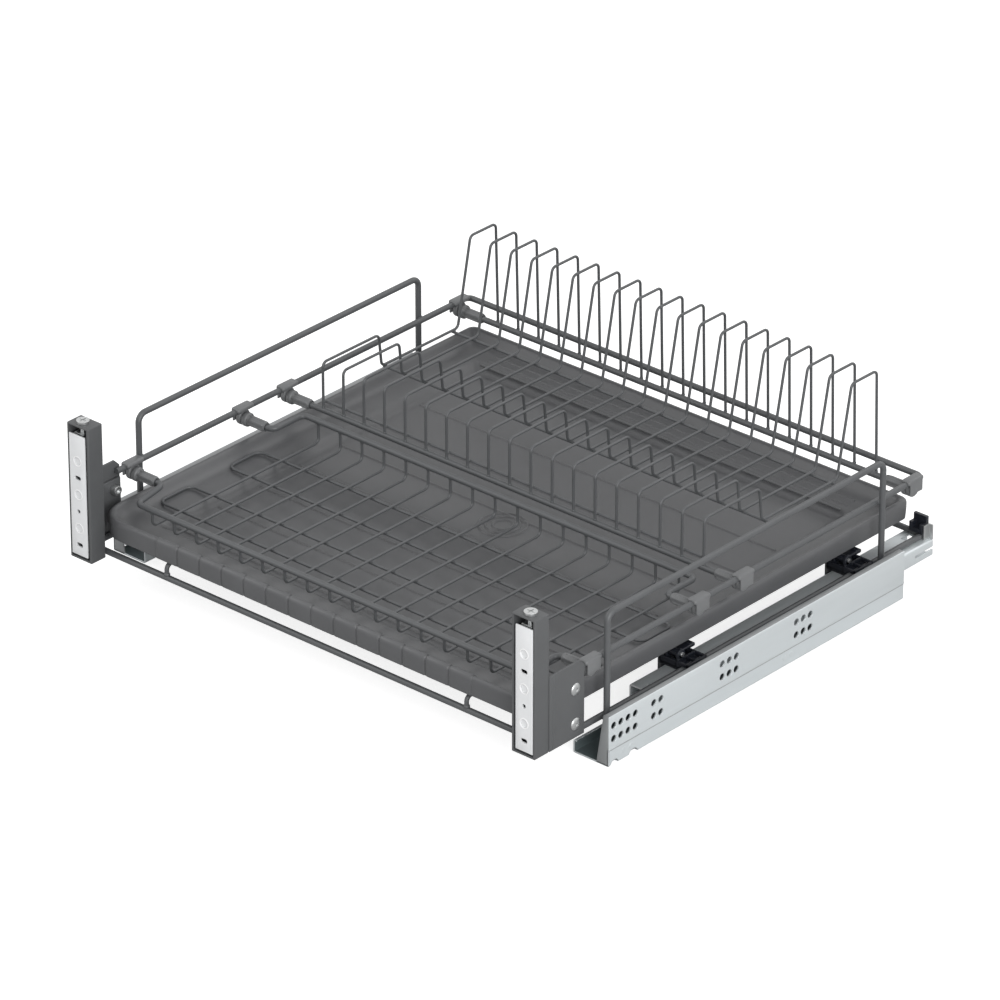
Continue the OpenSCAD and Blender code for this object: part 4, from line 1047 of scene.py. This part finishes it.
def bolt_shape(row):
    """A domed bolt head with its hexagon socket outside, and the hollow nut inside."""
    dome = ball((PLATE_X, BOLT_Y, row), DOME_RADIUS, (DOME_FLATNESS, 1, 1), DOME_SIDES, DOME_BANDS)
    inner_half = block((BORE_START, BOLT_Y - DOME_CUT, row - DOME_CUT),
                       (DOME_START, BOLT_Y + DOME_CUT, row + DOME_CUT))
    carve(dome, inner_half, through_side(row, HEX_RADIUS, start=HEX_START, sides=HEX_SIDES))
    shank = through_side(row, SHANK_RADIUS, SHANK_IN, SHANK_OUT)
    nut = soften(through_side(row, NUT_RADIUS, NUT_IN, NUT_OUT), *SMALL_EDGE)
    carve(nut, through_side(row, NUT_HOLE, end=NUT_HOLE_END))
    return joined(dome, shank, nut)


# %% [markdown]
# ## The white plates
# A plate is bent from sheet, and a drawer front is screwed to it. It has three screw places,
# each a shallow recess in a raised ring, two slots that let a screw shift sideways, and a
# small pilot hole between them. The rings are torus shapes sunk half into the plate. They
# are a separate piece with a whiter paint, a painted highlight for the light that catches
# them whiter than the flat sheet.

# %% White plates
FRONT_SHEET = ((242.3, -254.7, 33.4), (260.7, -253.1, 148.4))
FRONT_HEM = ((258.6, -254.6, 36.0), (260.5, -243.0, 146.0))
FRONT_MIDDLE_X = 251.5
FRONT_EDGE = (0.45, 2)
RING_ROWS, RING_Y, RING_RADIUS, RING_THICKNESS = (59.6, 91.6, 123.6), -254.3, 4.4, 0.65
RING_SIDES, RING_BANDS, UPRIGHT = 48, 8, (math.pi / 2, 0, 0)
RECESS_CUT_Y, RECESS_Y, RECESS_RADIUS = -256, -254.0, 3.6
SLOT_ROWS, SLOT_HALF_WIDTH, SLOT_HALF_HEIGHT, SLOT_EDGE = (43.6, 107.6), 3.6, 1.9, (1.7, 4)
PILOT_ROW, PILOT_RADIUS = 75.6, 1.9
CUT_FRONT_Y, CUT_BACK_Y = -258, -250


def into_plate(row, radius, start_y, end_y, sides):
    """A rod along Y on the plate's middle line."""
    return rod((FRONT_MIDDLE_X, start_y, row), (FRONT_MIDDLE_X, end_y, row), radius, sides)


def front_plate_shape():
    """The white plate with its recesses, slots and pilot hole, and apart from it the three rings."""
    sheet = soften(block(*FRONT_SHEET), *FRONT_EDGE)
    hem = soften(block(*FRONT_HEM), *CRISP_EDGE)
    rings = []
    for row in RING_ROWS:
        rings.append(round_ring((FRONT_MIDDLE_X, RING_Y, row), RING_RADIUS, RING_THICKNESS,
                                RING_SIDES, RING_BANDS, UPRIGHT))
        carve(sheet, into_plate(row, RECESS_RADIUS, RECESS_CUT_Y, RECESS_Y, ROUND_SIDES))
    for row in SLOT_ROWS:
        slot = block((FRONT_MIDDLE_X - SLOT_HALF_WIDTH, CUT_FRONT_Y, row - SLOT_HALF_HEIGHT),
                     (FRONT_MIDDLE_X + SLOT_HALF_WIDTH, CUT_BACK_Y, row + SLOT_HALF_HEIGHT))
        carve(sheet, soften(slot, *SLOT_EDGE))
    carve(sheet, into_plate(PILOT_ROW, PILOT_RADIUS, CUT_FRONT_Y, CUT_BACK_Y, HOLE_SIDES))
    return joined(sheet, hem), joined(*rings)


casing, plate = casing_shape(), side_plate_shape()
front_plate, plate_rings = front_plate_shape()
bolts = [bolt_shape(row) for row in BOLT_ROWS]
for side in ("left", "right"):
    other = side == "left"
    mount = "mounting_plate_" + side
    dress(copied(casing, mirror=other), "casing_" + side, "painted_sheet", "drawer",
          "bracket_casing_" + side)
    dress(copied(plate, mirror=other), "plate_" + side, "painted_sheet", "drawer", "side_plate_" + side)
    dress(copied(front_plate, mirror=other), "white_plate_" + side, "white_sheet", mount,
          "front_plate_" + side)
    # The rings get a whiter paint: a painted highlight.
    dress(copied(plate_rings, mirror=other), "plate_rings_" + side, "white_sheet", mount,
          paint="ring_painted_highlight")
all_bolts = joined(*[copied(bolt, mirror=other) for bolt in bolts for other in (False, True)])
dress(all_bolts, "domed_bolts", "bright_steel", "drawer", "bracket_bolts")
for spare in (casing, plate, front_plate, plate_rings, *bolts):
    bpy.data.objects.remove(spare)

# %% [markdown]
# ## Weld beads
# Wires are joined to rods and to each other by resistance welding, which leaves a small
# swelling at every crossing under the paint. One bead is a low-polygon ball,
# flattened; it is copied to each crossing, and the beads of one rack are joined.

# %% Weld beads
WIRE_BEAD, ROD_BEAD, BEAD_SQUASH = 1.75, 3.0, (1, 1, 0.85)
BEAD_SIDES, BEAD_BANDS = 10, 6
CUP_WIRES, CUP_PITCH = 17, 25.6
CUP_LOOPS = [(y, 60.75) for y in (-174.8, -135.7, -89.2, -50.1)]
CUP_RODS = [(-213.5, 74.2), (-7.0, 79.6)]
PLATE_WIRES, PLATE_PITCH = 19, 24.0
PLATE_CROSS_WIRES = [(12.9, 90.4), (91.5, 95.7), (181.0, 95.7)]
PLATE_RODS = [(11.5, 85.2), (239.3, 83.6)]
GUARD_WELDS = [(261.7, y, z) for y in (-167.3, 187.6) for z in (32.8, 90.5)]
CORNER_WELDS = [(257.0, y, 32.8) for y in (-233.0, 251.2)]
SUPPORT_WELDS = [(170.0, y, 35.8) for y in (-233.0, 251.2)]


def crossings(count, pitch, bars):
    """Where evenly spaced wires cross the bars that run along X at these (y, z) places."""
    return [((index - (count - 1) / 2) * pitch, y, z) for index in range(count) for y, z in bars]


def beads(name, body, places, radius):
    """A bead at each place, joined to one piece."""
    first = ball((0, 0, 0), radius, BEAD_SQUASH, BEAD_SIDES, BEAD_BANDS)
    piece = joined(*[copied(first, place) for place in places])
    bpy.data.objects.remove(first)
    dress(piece, name, "painted_wire", body, angle=80)


side_welds = GUARD_WELDS + CORNER_WELDS + SUPPORT_WELDS
frame_welds = [(side * x, y, z) for side in (-1, 1) for x, y, z in side_welds]
beads("cup_rack_welds", "cup_rack", crossings(CUP_WIRES, CUP_PITCH, CUP_LOOPS + CUP_RODS), WIRE_BEAD)
beads("plate_rack_welds", "plate_rack",
      crossings(PLATE_WIRES, PLATE_PITCH, PLATE_CROSS_WIRES + PLATE_RODS), WIRE_BEAD)
beads("frame_welds", "drawer", frame_welds, ROD_BEAD)
